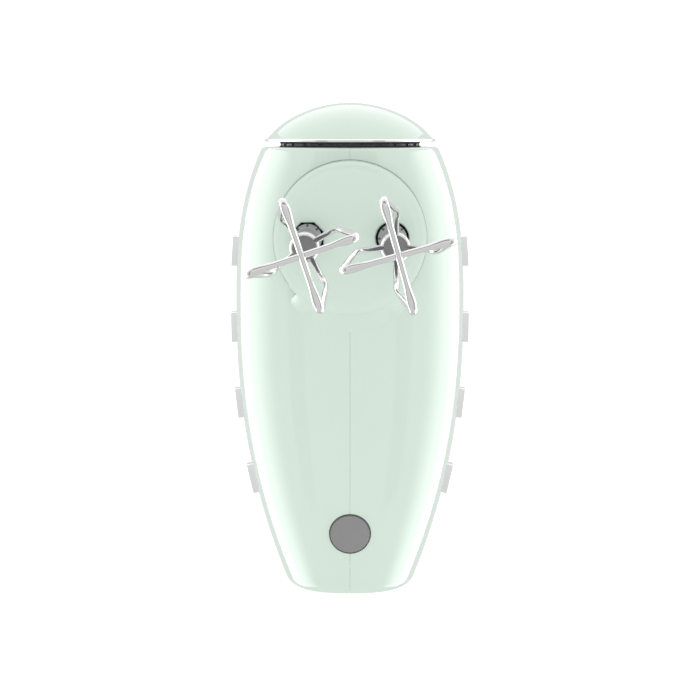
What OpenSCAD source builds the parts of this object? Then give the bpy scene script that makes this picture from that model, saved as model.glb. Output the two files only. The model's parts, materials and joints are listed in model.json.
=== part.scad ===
/* [Body] */
// Length of the body, from the bottom of its heel to the flat front face
body_len = 177.8; // [160:0.1:215]
// Greatest width of the body
body_w = 92; // [86:0.5:112]
// Height of the greatest width above the heel
widest_at = 114.4; // [100:0.1:130]
// Width and depth of the front face
front_w = 71; // [69:0.5:76]
// Width of the heel, before its lower corners are rounded
heel_w = 48.8; // [46:0.4:64]
// Radius of the heel's lower corners
heel_corner = 3.5; // [3:0.5:10]
// Depth from the motor's axis to the belly
belly_d = 44.5; // [42:0.5:54]
// Depth from the motor's axis to the back, under the fingers
back_d = 40; // [38:0.5:48]
// Depth from the motor's axis to the belly at the heel
heel_belly_d = 30.5; // [26:0.5:36]
// Power of the oval cross-sections: 2 is an ellipse, more is squarer
section_power = 2.4; // [2:0.1:3.2]
// Wall of both shells
wall = 2.2; // [1.8:0.05:2.8]
// Height of the rubber feet under the heel
foot_h = 0.6; // [0.4:0.1:1.5]

/* [Handle] */
// Width of the grip
grip_w = 33; // [30:0.5:40]
// Thickness of the grip
grip_t = 30; // [28:0.5:36]
// Clear height for the fingers between the back and the grip
finger_gap = 38; // [32:0.5:48]
// Radius of the handle's centre line at its two corners
grip_bend_r = 24; // [21:0.5:30]
// Extra half-width of the two pillars where they join the body
pillar_flare = 7; // [3:0.5:10]

/* [Nose] */
// Visible height of the dark neck
neck_h = 2; // [1.5:0.1:4]
// Diameter of the neck
neck_d = 58; // [52:0.5:60]
// Diameter of the polished ring
ring_d = 69.2; // [66:0.2:72]
// Thickness of the polished ring
ring_t = 1.3; // [1:0.1:2.5]
// Diameter of the dome at its base
dome_d = 67; // [62:0.5:69]
// Height of the dome
dome_h = 14.5; // [10:0.5:20]

/* [Drive] */
// Distance between the two spindles
spindle_gap = 32.9; // [31:0.1:40]
// Distance from the front face back to the spindles
spindle_back = 34.9; // [34:0.1:38]
// Teeth on each worm wheel (an odd number puts both wheels in mesh)
wheel_teeth = 23; // [21:2:25]
// Gear module of the worm and wheels
gear_module = 1; // [0.9:0.05:1.1]
// Face width of the worm wheels
wheel_face = 7; // [5:0.5:9]
// Diameter of the beater shafts
beater_shaft_d = 5.4; // [4.4:0.1:6.6]
// Wall of the hollow spindles
spindle_wall = 1.7; // [1.2:0.1:2]
// Running clearance of every shaft in its bore, on the radius
run_gap = 0.05; // [0.03:0.01:0.08]
// Clearance round moving covers and buttons
slide_gap = 0.2; // [0.15:0.05:0.3]
// Diameter of the motor shaft
motor_shaft_d = 6; // [5:0.1:7]
// Diameter of the armature
armature_d = 30; // [26:0.5:34]
// Length of the stator and armature stacks
stack_len = 32; // [26:0.5:38]
// Stroke of the eject button
eject_stroke = 6; // [4:0.5:6.5]
// Stroke of the small buttons
key_stroke = 0.8; // [0.5:0.1:1]

/* [Spindle plate] */
// Diameter of the raised spindle plate
plate_d = 60.4; // [58:0.2:64]
// Depth from the motor's axis to the plate's outer face
plate_face_d = 47; // [46.5:0.1:50]
// Thickness of the plate
plate_t = 3.5; // [3:0.1:4.5]
// Half-width of the octagonal socket, from flat to flat
octagon_half = 6; // [5.9:0.1:6.8]
// Radius of the round socket
round_socket_r = 6.4; // [5.9:0.1:6.8]

/* [Beaters] */
// Reach of the ferrules beyond the plate's face
ferrule_reach = 75; // [65:0.5:90]
// Reach of the wire elbows beyond the plate's face
elbow_reach = 102; // [92:0.5:112]
// Reach of the end bars beyond the plate's face
beater_reach = 132; // [120:0.5:150]
// Radius of the wire corners at the far end
beater_r = 20.1; // [15:0.1:23]
// Radius of the wire elbows
elbow_r = 14.6; // [11:0.1:14.8]
// Diameter of the wire
wire_d = 2.2; // [1.8:0.1:2.6]
// Angle of the left end bars, seen from the beaters' side
left_phase = 18.5; // [10:0.5:40]
// Angle of the right end bars, seen from the beaters' side
right_phase = 15.5; // [10:0.5:40]
// Twist from the end bars to the elbows
elbow_twist = 15; // [0:1:20]

/* [Trim] */
// Height of one side bar
bar_h = 12; // [8:0.5:16]
// Width of one side bar, front to back
bar_w = 8; // [4:0.5:14]
// How far the side bars stand out
bar_out = 2.4; // [1:0.1:4]
// Height of the lowest side bar above the heel
lowest_bar = 43.9; // [36:0.1:60]
// Diameter of the round pad on the belly
pad_d = 16.3; // [12:0.1:20]
// Height of the pad above the heel
pad_z = 26; // [20:0.5:34]

/* [Controls] */
// Width of the control panel
panel_w = 22; // [21:0.5:26]
// Length of the control panel
panel_len = 60; // [59:0.5:66]
// Radius of the power and turbo buttons
key_r = 4.2; // [3.5:0.1:4.4]
// Radius of the plus and minus buttons
small_key_r = 3.4; // [2.8:0.1:3.6]
// Radius of the eject button
eject_r = 7.6; // [6.5:0.1:8]

/* [Cord inlet] */
// Radius of the cord hole in the gland
cord_r = 3.3; // [2.8:0.1:3.8]
// Height of the gland above the heel
cord_z = 34; // [28:0.5:44]

/* [Hidden] */

$fn = 48;
mint = [0.82, 0.9, 0.85];
chrome = [0.8, 0.8, 0.82];
steel = [0.7, 0.7, 0.72];
dark = [0.25, 0.25, 0.27];
copper = [0.72, 0.45, 0.3];
brass = [0.75, 0.62, 0.35];
eps = 0.01;
far = 200;

// Main heights and depths
heel_z = foot_h;
front_z = foot_h + body_len;
spindle_z = front_z - spindle_back;
spindle_x = spindle_gap / 2;
grip_y = back_d + finger_gap + grip_t / 2;
rear_pillar_z = heel_z + grip_t / 2;
front_pillar_z = spindle_z + 4.5;
grip_top = grip_y + grip_t / 2;

function sgn_pow(v, p) = sign(v) * pow(abs(v), p);

// A size that grows from its value at the heel to the middle, then falls to the front
function along(z, heel, middle, front) =
    z > widest_at
    ? middle - (middle - front) * pow((z - widest_at) / (front_z - widest_at), 2.8)
    : middle - (middle - heel) * pow((widest_at - z) / widest_at, 2.2);

function half_w(z) = along(z, heel_w / 2, body_w / 2, front_w / 2);
function belly(z) = along(z, heel_belly_d, belly_d, front_w / 2 - 1);
function back(z) = along(z, back_d - 5, back_d, front_w / 2 - 1);

// One oval cross-section of the body at height z, shrunk by inset
function body_ring(z, inset, points = 36) = [
    for (i = [0 : points - 1])
    let (a = 360 * i / points,
         w = half_w(z) - inset,
         lo = -(belly(z) - inset),
         hi = back(z) - inset,
         c = sgn_pow(cos(a), 2 / section_power),
         s = sgn_pow(sin(a), 2 / section_power))
    [w * c, (lo + hi) / 2 + (hi - lo) / 2 * s, z]
];

corner_steps = 5;
body_steps = 13;

// Rings of the body from its rounded heel to its front face
function body_rings(inset) = let (
    z0 = heel_z + inset,
    z1 = front_z - inset,
    r = heel_corner
) concat(
    [for (i = [0 : corner_steps - 1]) let (t = 90 * i / corner_steps)
        body_ring(z0 + r * (1 - cos(t)), inset + r * (1 - sin(t)))],
    [for (i = [0 : body_steps]) let (t = i / body_steps)
        body_ring(z0 + r + (z1 - z0 - r) * t, inset)]
);

// Solid through a list of rings, made slice by slice
module slices(rings) {
    n = len(rings[0]);
    for (i = [0 : len(rings) - 2])
        hull()
            polyhedron(
                concat(rings[i], rings[i + 1]),
                concat(
                    [[for (k = [0 : n - 1]) k]],
                    [[for (k = [n - 1 : -1 : 0]) n + k]],
                    [for (k = [0 : n - 1]) [k, n + k, n + (k + 1) % n, (k + 1) % n]]
                )
            );
}

// The handle's centre line: [y, z, angle of travel] from the rear root to the front root
bend_steps = 5;
pillar_root_y = back_d - 18;
bend_y = grip_y - grip_bend_r;
handle_path = concat(
    [for (i = [0 : 3]) [pillar_root_y + (bend_y - pillar_root_y) * i / 4, rear_pillar_z, 90]],
    [for (i = [0 : bend_steps]) let (t = 90 * i / bend_steps)
        [bend_y + grip_bend_r * sin(t), rear_pillar_z + grip_bend_r * (1 - cos(t)), 90 - t]],
    [for (i = [0 : bend_steps]) let (t = 90 * i / bend_steps)
        [bend_y + grip_bend_r * cos(t), front_pillar_z - grip_bend_r * (1 - sin(t)), -t]],
    [for (i = [3 : -1 : 0]) [pillar_root_y + (bend_y - pillar_root_y) * i / 4, front_pillar_z, -90]]
);

// Extra half-width of a pillar at depth y: all of it at the back's surface, none at the bends
function flare(y) = pillar_flare * pow(max(0, min(1, (bend_y - y) / (bend_y - back_d))), 2);

function handle_rings(inset, points = 28) = [
    for (p = handle_path) [
        for (i = [0 : points - 1])
        let (a = 360 * i / points,
             x = (grip_w / 2 + flare(p[0]) - inset) * sgn_pow(cos(a), 2 / section_power),
             o = (grip_t / 2 - inset) * sgn_pow(sin(a), 2 / section_power))
        [x, p[0] + cos(p[2]) * o, p[1] - sin(p[2]) * o]
    ]
];

// Tube along a list of points, closed with flat ends
function unit(v) = v / norm(v);
function tangent(p, i) =
    unit(p[min(i + 1, len(p) - 1)] - p[max(i - 1, 0)]);
function frames(p, side, i = 0) =
    i == len(p) ? [] :
    let (t = tangent(p, i), s = unit(side - (side * t) * t))
    concat([[s, cross(t, s)]], frames(p, s, i + 1));

module tube(points, r, side, sides = 10) {
    n = len(points);
    f = frames(points, side);
    rings = [
        for (i = [0 : n - 1], k = [0 : sides - 1])
        let (a = 360 * k / sides)
        points[i] + r * (cos(a) * f[i][0] + sin(a) * f[i][1])
    ];
    polyhedron(
        rings,
        concat(
            [[for (k = [sides - 1 : -1 : 0]) k]],
            [for (i = [0 : n - 2], k = [0 : sides - 1]) let (j = (k + 1) % sides)
                [i * sides + k, i * sides + j, (i + 1) * sides + j, (i + 1) * sides + k]],
            [[for (k = [0 : sides - 1]) (n - 1) * sides + k]]
        )
    );
}

// Cylinder along +Y from y0 to y1
module y_cyl(r, y0, y1) {
    translate([0, y0, 0])
        rotate([-90, 0, 0])
            cylinder(r = r, h = y1 - y0);
}

module y_tube(r_out, r_in, y0, y1) {
    difference() {
        y_cyl(r_out, y0, y1);
        y_cyl(r_in, y0 - 1, y1 + 1);
    }
}

module z_tube(r_out, r_in, z0, z1) {
    translate([0, 0, z0])
        difference() {
            cylinder(r = r_out, h = z1 - z0);
            translate([0, 0, -1])
                cylinder(r = r_in, h = z1 - z0 + 2);
        }
}

// Box from one corner to the opposite one
module block(lo, hi) {
    translate(lo)
        cube(hi - lo);
}

module at_spindle(side) {
    translate([side * spindle_x, 0, spindle_z])
        children();
}

// ---------- shells ----------

screw_r = 1.5;
screw_head_r = 2.8;
screw_head_h = 2;
post_r = 3.6;
// Shell screws: [y, height above the heel, half-length of the shank]
shell_screw_list = [
    [22, 12, 10],
    [grip_y - 2, heel_z + 58, 8],
    [31, spindle_z - 46.5, 12],
    [25, front_z - 10, 10]
];
// Posts on the belly side that only line the two shells up: [y, height]
dowel_list = [[-26, 13], [-33, spindle_z - 46.5]];

panel_z1 = spindle_z - 11.5;
panel_z0 = panel_z1 - panel_len;
panel_top = grip_top - 0.6;
panel_t = 6.2;
panel_y = panel_top - panel_t;
ledge_t = 2;
rod_r = 3;
guide_y0 = back_d + 10;
guide_y1 = guide_y0 + 3;
neck_r = neck_d / 2;

module body_solid(inset) {
    slices(body_rings(inset));
}

module handle_solid(inset) {
    slices(handle_rings(inset));
}

module screw_posts() {
    intersection() {
        union() {
            body_solid(wall / 2);
            handle_solid(wall / 2);
        }
        for (s = concat(shell_screw_list, dowel_list))
            translate([-far / 2, s[0], s[1]])
                rotate([0, 90, 0])
                    cylinder(r = post_r, h = far);
    }
}

module screw_holes() {
    for (s = shell_screw_list)
        translate([0, s[0], s[1]])
            rotate([0, 90, 0]) {
                translate([0, 0, -s[2]])
                    cylinder(r = screw_r, h = 2 * s[2] + 1);
                translate([0, 0, s[2]])
                    cylinder(r = screw_head_r + slide_gap, h = far);
            }
}

// Ledges that carry the control panel and its board, and the web that guides the ejector rod
module handle_ribs() {
    intersection() {
        handle_solid(wall / 2);
        union() {
            for (side = [-1, 1]) {
                translate([side * (panel_w / 2 + 3.2), panel_y - ledge_t / 2, (panel_z0 + panel_z1) / 2])
                    cube([10, ledge_t, panel_len + 2], center = true);
                for (z = [panel_z0 + 6, panel_z1 - 6])
                    translate([side * (panel_w / 2 + 3.2), board_y - ledge_t / 2, z])
                        cube([10, ledge_t, 3], center = true);
            }
            block([-far, guide_y0, front_pillar_z - grip_t], [far, guide_y1, front_pillar_z + grip_t]);
        }
    }
}

// A rib on both side walls, from half-width x outwards, between two depths and two heights
module side_rib(x, y0, y1, z0, z1) {
    block([x, y0, z0], [far, y1, z1]);
    block([-far, y0, z0], [-x, y1, z1]);
}

// Ribs that hold the motor, the gearbox and the power board
module body_ribs() {
    rib_t = 3;
    intersection() {
        body_solid(wall / 2);
        union() {
            side_rib(bracket_half, -8, 8, bracket_z0 + 1, bracket_z0 + 1 + rib_t);
            side_rib(stator_x, -8, 8, stack_z1 - 6, stack_z1 - 6 + rib_t);
            side_rib(frame_half_w, -12, 12, frame_z0 + 8, frame_z0 + 8 + rib_t);
            side_rib(frame_half_w, -12, 12, frame_z1 - 8 - rib_t, frame_z1 - 8);
            side_rib(17, -10, 10, power_board_z - rib_t, power_board_z);
        }
    }
}

module shell_skin() {
    difference() {
        union() {
            body_solid(0);
            handle_solid(0);
        }
        body_solid(wall);
        handle_solid(wall);
    }
}

module trim_shape(side, gap) {
    pitch = (spindle_z - 7.2 - lowest_bar) / 3;
    for (i = [0 : 3]) {
        z = lowest_bar + pitch * i;
        lean = atan((half_w(z + 2) - half_w(z - 2)) / 4);
        translate([side * half_w(z), 0, z])
            rotate([0, side * lean, 0])
                translate([side * (bar_out - wall) / 2, 0, 0])
                    cube([bar_out + wall + gap, bar_w + 2 * gap, bar_h + 2 * gap], center = true);
    }
}

pad_t = 2.2;
pad_proud = 0.9;
module pad_place() {
    slope = atan((belly(pad_z + 3) - belly(pad_z - 3)) / 6);
    translate([0, -belly(pad_z), pad_z])
        rotate([slope, 0, 0])
            rotate([90, 0, 0])
                children();
}

foot_r = 14;
foot_t = 2.2;
rear_foot_w = 11;
module foot_shape(gap) {
    translate([0, 0, -gap]) {
        for (y = [-4, 12])
            translate([0, y, 0])
                cylinder(r = foot_r + gap, h = foot_t + gap);
        translate([-foot_r - gap, -4, 0])
            cube([2 * (foot_r + gap), 16, foot_t + gap]);
        translate([-rear_foot_w / 2 - gap, back_d + 2 - gap, 0])
            cube([rear_foot_w + 2 * gap, bend_y - back_d - 4 + 2 * gap, foot_t + gap]);
    }
}

gland_r = 5.4;
module shell(side) {
    difference() {
        union() {
            shell_skin();
            screw_posts();
            handle_ribs();
            body_ribs();
        }
        screw_holes();
        // seam, nose opening and the round seat of the spindle plate
        translate([side > 0 ? -far : 0, -far, -far])
            cube([far, 2 * far, 3 * far]);
        translate([0, 0, front_z - 2 * wall])
            cylinder(r = neck_r + slide_gap, h = 3 * wall, $fn = 72);
        translate([0, 0, spindle_z])
            rotate([90, 0, 0])
                cylinder(r = plate_d / 2 + slide_gap, h = far, $fn = 96);
        // control panel, eject button and ejector rod
        block([-panel_w / 2 - slide_gap, panel_y - eps, panel_z0 - slide_gap],
              [panel_w / 2 + slide_gap, grip_top + 2, panel_z1 + slide_gap]);
        translate([0, 0, spindle_z]) {
            y_cyl(eject_r + slide_gap, bend_y, grip_top + 20);
            y_cyl(rod_r + slide_gap, 0, grip_top);
        }
        // trim bars, pad, feet and cord gland
        trim_shape(side, 0.1);
        pad_place()
            translate([0, 0, -pad_t])
                cylinder(r = pad_d / 2 + 0.1, h = pad_t * 3);
        foot_shape(0.1);
        translate([0, 0, cord_z])
            y_cyl(gland_r + 0.1, grip_y, grip_top + 20);
    }
}

module left_shell() {
    color(mint)
        shell(-1);
}

module right_shell() {
    color(mint)
        shell(1);
}

module spindle_plate() {
    r = plate_d / 2;
    edge = 3;
    skirt_t = 2.6;
    skirt_end = -frame_y0;
    guard_r = 8.4;
    color(mint)
        difference() {
            union() {
                translate([0, -plate_face_d, spindle_z])
                    rotate([-90, 0, 0])
                        rotate_extrude($fn = 96) {
                            square([r - edge, plate_t]);
                            translate([r - edge, edge])
                                intersection() {
                                    circle(r = edge);
                                    translate([0, -edge])
                                        square(edge);
                                }
                            translate([r - skirt_t - edge, edge])
                                square([skirt_t + edge, plate_t - edge + 2]);
                            translate([r - skirt_t, edge])
                                square([skirt_t, plate_face_d - skirt_end - edge]);
                        }
                for (side = [-1, 1])
                    at_spindle(side)
                        y_cyl(guard_r, -plate_face_d + plate_t - eps, -plate_face_d + 12);
            }
            at_spindle(-1) {
                rotate([90, 22.5, 0])
                    translate([0, 0, plate_face_d - plate_t])
                        cylinder(r = octagon_half / cos(22.5), h = plate_t * 2, $fn = 8);
                y_cyl(seal_r, -plate_face_d + plate_t - 0.5, 0);
            }
            at_spindle(1) {
                y_cyl(round_socket_r, -plate_face_d - 1, 0);
                y_cyl(seal_r, -plate_face_d + plate_t - 0.5, 0);
            }
            for (side = [-1, 1])
                at_spindle(side)
                    y_cyl(boss_r + slide_gap, lower_bush_y0 - slide_gap, 0);
        }
}

// ---------- nose ----------

module nose_neck() {
    flange_r = neck_r + 2.5;
    in_r = neck_r - 2.5;
    z0 = front_z - wall;
    // the flange fills what the spindle plate's seat leaves under the front wall
    flange_t = spindle_back - wall - plate_d / 2;
    vents = 24;
    color(dark)
        difference() {
            union() {
                z_tube(flange_r, in_r - 2, z0 - flange_t, z0);
                z_tube(neck_r, in_r, z0 - eps, front_z + neck_h);
            }
            translate([0, 0, front_z + neck_h / 2])
                rotate_extrude()
                    translate([neck_r + 1.1, 0])
                        circle(r = 1.4);
            for (i = [0 : vents - 1])
                rotate([0, 0, 360 * (i + 0.5) / vents])
                    translate([in_r - 1, -1.6, front_z + neck_h * 0.2])
                        cube([6, 3.2, neck_h * 0.6]);
        }
}

module nose_ring() {
    z0 = front_z + neck_h;
    r = ring_d / 2;
    color(chrome)
        rotate_extrude($fn = 96)
            polygon([
                [neck_r - 4, z0], [r - 1.2, z0], [r, z0 + ring_t * 0.4],
                [r, z0 + ring_t * 0.6], [r - 0.7, z0 + ring_t], [neck_r - 4, z0 + ring_t]
            ]);
}

module nose_cap() {
    z0 = front_z + neck_h + ring_t;
    r = dome_d / 2;
    sphere_r = (r * r + dome_h * dome_h) / (2 * dome_h);
    color(mint)
        translate([0, 0, z0])
            difference() {
                intersection() {
                    translate([0, 0, dome_h - sphere_r])
                        sphere(r = sphere_r, $fn = 96);
                    cylinder(r = r + 1, h = dome_h + 1);
                }
                difference() {
                    translate([0, 0, dome_h - sphere_r])
                        sphere(r = sphere_r - wall, $fn = 96);
                    translate([0, 0, -sphere_r - 2 * wall + wall * 0.5])
                        cube(2 * [sphere_r, sphere_r, wall], center = true);
                }
            }
}

// ---------- trim, pad and feet ----------

module left_trim_bars() {
    color(chrome)
        trim_shape(-1, 0);
}

module right_trim_bars() {
    color(chrome)
        trim_shape(1, 0);
}

module bowl_rest_pad() {
    color([0.54, 0.54, 0.54])
        pad_place()
            translate([0, 0, -pad_t + 0.1])
                rotate_extrude()
                    polygon([
                        [0, 0], [pad_d / 2, 0], [pad_d / 2, pad_t + pad_proud - 0.5],
                        [pad_d / 2 - 0.4, pad_t + pad_proud - 0.1], [0, pad_t + pad_proud]
                    ]);
}

module heel_feet() {
    color(dark)
        foot_shape(0);
}

// ---------- controls ----------

display_z = panel_z1 - 14.5;
display_w = 15;
display_len = 19;
power_key_z = panel_z0 + 7;
turbo_key_z = panel_z0 + 19;
small_key_z = panel_z0 + 29.5;
small_key_x = 5;
key_flange_y = panel_y - 0.3;
key_flange_t = 1.3;
board_y = grip_y + 1.4;
board_t = 1.6;

module at_key(x, z) {
    translate([x, 0, z])
        children();
}

module control_panel() {
    color(dark)
        difference() {
            block([-panel_w / 2, panel_y, panel_z0], [panel_w / 2, panel_top, panel_z1]);
            block([-display_w / 2 - 1, panel_top - 1.5, display_z - display_len / 2 - 1],
                  [display_w / 2 + 1, panel_top + 1, display_z + display_len / 2 + 1]);
            block([-display_w / 2, panel_y - 1, display_z - display_len / 2],
                  [display_w / 2, panel_top, display_z + display_len / 2]);
            for (z = [power_key_z, turbo_key_z])
                at_key(0, z)
                    y_cyl(key_r + slide_gap, panel_y - 1, panel_top + 1);
            for (x = [-small_key_x, small_key_x])
                at_key(x, small_key_z)
                    y_cyl(small_key_r + slide_gap, panel_y - 1, panel_top + 1);
        }
}

module display_window() {
    color([0.1, 0.12, 0.13])
        block([-display_w / 2 - 0.9, panel_top - 1.5, display_z - display_len / 2 - 0.9],
              [display_w / 2 + 0.9, panel_top, display_z + display_len / 2 + 0.9]);
}

module display_module() {
    color([0.85, 0.9, 0.9])
        block([-display_w / 2 + 0.5, board_y + board_t, display_z - display_len / 2 + 0.5],
              [display_w / 2 - 0.5, board_y + board_t + 3.4, display_z + display_len / 2 - 0.5]);
}

module control_board() {
    color([0.1, 0.4, 0.2])
        block([-panel_w / 2 + 0.5, board_y, panel_z0 + 1],
              [panel_w / 2 - 0.5, board_y + board_t, panel_z1 - 1]);
}

switch_h = 1;
module tact_switches() {
    color(dark)
        for (k = [[0, power_key_z], [0, turbo_key_z], [-small_key_x, small_key_z],
                  [small_key_x, small_key_z]])
            at_key(k[0], k[1]) {
                block([-2, board_y + board_t, -2], [2, board_y + board_t + 0.7, 2]);
                y_cyl(1, board_y + board_t + 0.5, board_y + board_t + switch_h);
            }
}

module key(x, z, r, tint) {
    stem_y = board_y + board_t + switch_h + key_stroke + 0.15;
    color(tint)
        at_key(x, z) {
            y_cyl(r, key_flange_y - key_flange_t, panel_top + 1.1);
            y_cyl(r + 0.8, key_flange_y - key_flange_t, key_flange_y);
            y_cyl(1.4, stem_y, key_flange_y);
        }
}

module power_button() {
    key(0, power_key_z, key_r, chrome);
}

module turbo_button() {
    key(0, turbo_key_z, key_r, chrome);
}

module minus_button() {
    key(-small_key_x, small_key_z, small_key_r, chrome);
}

module plus_button() {
    key(small_key_x, small_key_z, small_key_r, chrome);
}

// ---------- ejector ----------

spindle_r = beater_shaft_d / 2 + run_gap + spindle_wall;
spindle_y0 = -plate_face_d + 7;
spindle_y1 = 20;
pin_len = 24.2;
pin_y0 = spindle_y1 + eject_stroke - pin_len;
yoke_y0 = spindle_y1 + eject_stroke + 0.2;
yoke_t = 3.8;
eject_y0 = bend_y + 23;
eject_top = bend_y + sqrt(pow(grip_bend_r + grip_t / 2, 2) - pow(front_pillar_z - spindle_z
    - grip_bend_r, 2)) + 3.4;
spring_y0 = guide_y1;
rod_flange_y = spring_y0 + 25;

module eject_button() {
    edge = 1.6;
    color(chrome)
        translate([0, eject_y0, spindle_z])
            rotate([-90, 0, 0])
                rotate_extrude() {
                    square([eject_r, eject_top - eject_y0 - edge]);
                    square([eject_r - edge, eject_top - eject_y0]);
                    translate([eject_r - edge, eject_top - eject_y0 - edge])
                        intersection() {
                            circle(r = edge);
                            square(edge);
                        }
                }
}

module ejector_yoke() {
    color(steel)
        translate([0, 0, spindle_z])
            union() {
                block([-spindle_x - 4.5, yoke_y0, -6], [spindle_x + 4.5, yoke_y0 + yoke_t, 6]);
                y_cyl(rod_r, yoke_y0 + yoke_t - eps, eject_y0);
                y_cyl(rod_r + 2.5, rod_flange_y, rod_flange_y + 2);
            }
}

module ejector_spring() {
    turns = 7;
    steps = 12;
    wire_r = 0.5;
    coil_r = rod_r + 1.2;
    len = rod_flange_y - spring_y0 - 2 * wire_r - 0.2;
    color(steel)
        tube(
            [for (i = [0 : turns * steps]) let (a = 360 * i / steps)
                [coil_r * cos(a), spring_y0 + wire_r + 0.1 + len * i / (turns * steps),
                 spindle_z + coil_r * sin(a)]],
            wire_r, [1, 0, 0], 6
        );
}

module ejector_pin(side) {
    color(brass)
        at_spindle(side)
            y_cyl(beater_shaft_d / 2, pin_y0, yoke_y0 - 0.1);
}

module left_ejector_pin() {
    ejector_pin(-1);
}

module right_ejector_pin() {
    ejector_pin(1);
}

// ---------- gearbox ----------

wheel_pitch_r = gear_module * wheel_teeth / 2;
wheel_out_r = wheel_pitch_r + gear_module;
worm_pitch_r = spindle_x - wheel_pitch_r;
worm_root_r = worm_pitch_r - 1.25 * gear_module;
worm_lead = PI * gear_module;
worm_bore_r = 2.5;
bush_r = spindle_r + run_gap + 2;
frame_half_w = spindle_x + wheel_out_r + 3.6;
frame_y0 = -27;
frame_y1 = 15;
frame_wall = 5;
// Half-widths at which the frame's front face and its square back corners still clear the shells
frame_flat_w = 24.55;
frame_square_w = 33;
frame_cut = frame_half_w - frame_flat_w;
frame_back_cut = max(0, frame_half_w - frame_square_w);
frame_back = frame_back_cut > 0
    ? [[frame_half_w, frame_y1 - frame_back_cut], [frame_half_w - frame_back_cut, frame_y1]]
    : [[frame_half_w, frame_y1]];
frame_z0 = spindle_z - 38;
frame_z1 = spindle_z + 22;
bearing_r = 8;
lower_bush_y0 = -33;
boss_r = bush_r + 2;

module gearbox_frame() {
    color(steel)
        difference() {
            union() {
                translate([0, 0, frame_z0])
                    linear_extrude(frame_z1 - frame_z0)
                        polygon(concat(
                            [[-frame_flat_w, frame_y0], [frame_flat_w, frame_y0]],
                            [[frame_half_w, frame_y0 + frame_cut]],
                            frame_back,
                            [for (i = [len(frame_back) - 1 : -1 : 0]) [-frame_back[i][0], frame_back[i][1]]],
                            [[-frame_half_w, frame_y0 + frame_cut]]
                        ));
                for (side = [-1, 1])
                    at_spindle(side)
                        y_cyl(boss_r, lower_bush_y0, frame_y0 + eps);
            }
            block([-far, frame_y0 + frame_wall, frame_z0 + frame_wall + 1],
                  [far, frame_y1 - frame_wall, frame_z1 - frame_wall]);
            for (side = [-1, 1])
                at_spindle(side)
                    y_cyl(bush_r, -far, far);
            cylinder(r = bearing_r, h = frame_z0 + 15);
            translate([0, 0, frame_z1 - 10])
                cylinder(r = end_bush_r, h = 20);
            for (side = [-1, 1])
                translate([side * motor_screw_x, 0, 0])
                    cylinder(r = motor_screw_r, h = far);
        }
}

end_bush_r = 5;
module worm_end_bush() {
    color(brass)
        z_tube(end_bush_r, worm_bore_r + run_gap, frame_z1 - frame_wall, frame_z1);
}

module spindle_bushes() {
    color(brass)
        for (side = [-1, 1])
            at_spindle(side) {
                y_tube(bush_r, spindle_r + run_gap, lower_bush_y0, frame_y0 + frame_wall);
                y_tube(bush_r, spindle_r + run_gap, frame_y1 - frame_wall, frame_y1);
            }
}

seal_r = 7;
module spindle_seals() {
    color(dark)
        for (side = [-1, 1])
            at_spindle(side)
                y_tube(seal_r, spindle_r + run_gap, spindle_y0 + 0.5, spindle_y0 + 4);
}

wing_t = 1.6;
wing_y0 = spindle_y0 + 3;
module spindle(side) {
    color(steel)
        at_spindle(side)
            difference() {
                y_cyl(spindle_r, spindle_y0, spindle_y1);
                y_cyl(beater_shaft_d / 2 + run_gap, -far, far);
                block([-far, spindle_y0 - 1, -wing_t / 2 - 0.1], [far, wing_y0 + 4.2, wing_t / 2 + 0.1]);
            }
}

module left_spindle() {
    spindle(-1);
}

module right_spindle() {
    spindle(1);
}

// Outline of a worm wheel: straight-sided teeth with a tooth on the +X axis
module wheel_outline() {
    root = wheel_pitch_r - 1.25 * gear_module;
    pitch = 360 / wheel_teeth;
    half_root = pitch * 0.3;
    half_tip = pitch * 0.12;
    polygon([
        for (i = [0 : wheel_teeth - 1], p = [[root, -half_root], [wheel_out_r, -half_tip],
             [wheel_out_r, half_tip], [root, half_root]])
        p[0] * [cos(i * pitch + p[1]), sin(i * pitch + p[1])]
    ]);
}

module worm_wheel(side) {
    // the teeth follow the worm's thread, so they turn by this much across the face
    twist = wheel_face * (worm_lead / (2 * PI * worm_pitch_r)) / wheel_pitch_r * 180 / PI;
    hub_r = spindle_r + 2.4;
    color([0.93, 0.9, 0.8])
        at_spindle(side)
            difference() {
                union() {
                    translate([0, -wheel_face / 2, 0])
                        rotate([-90, 0, 0])
                            rotate([0, 0, -twist / 2])
                                linear_extrude(wheel_face, twist = -twist, slices = 4)
                                    wheel_outline();
                    y_cyl(hub_r, frame_y0 + frame_wall + 0.3, frame_y1 - frame_wall - 0.3);
                }
                y_cyl(spindle_r, -far, far);
            }
}

module left_worm_wheel() {
    worm_wheel(-1);
}

module right_worm_wheel() {
    worm_wheel(1);
}

// ---------- motor ----------

stack_z1 = frame_z0 - 21.5;
stack_z0 = stack_z1 - stack_len;
bracket_z0 = stack_z0 - 26;
bracket_t = 5;
bracket_half = 28;
worm_len = 22;
motor_screw_x = 25.5;
motor_screw_r = 1.6;
shaft_r = motor_shaft_d / 2;
armature_r = armature_d / 2;
comm_r = 9;
comm_z0 = bracket_z0 + 10;
brush_z = comm_z0 + 4.5;

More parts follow.
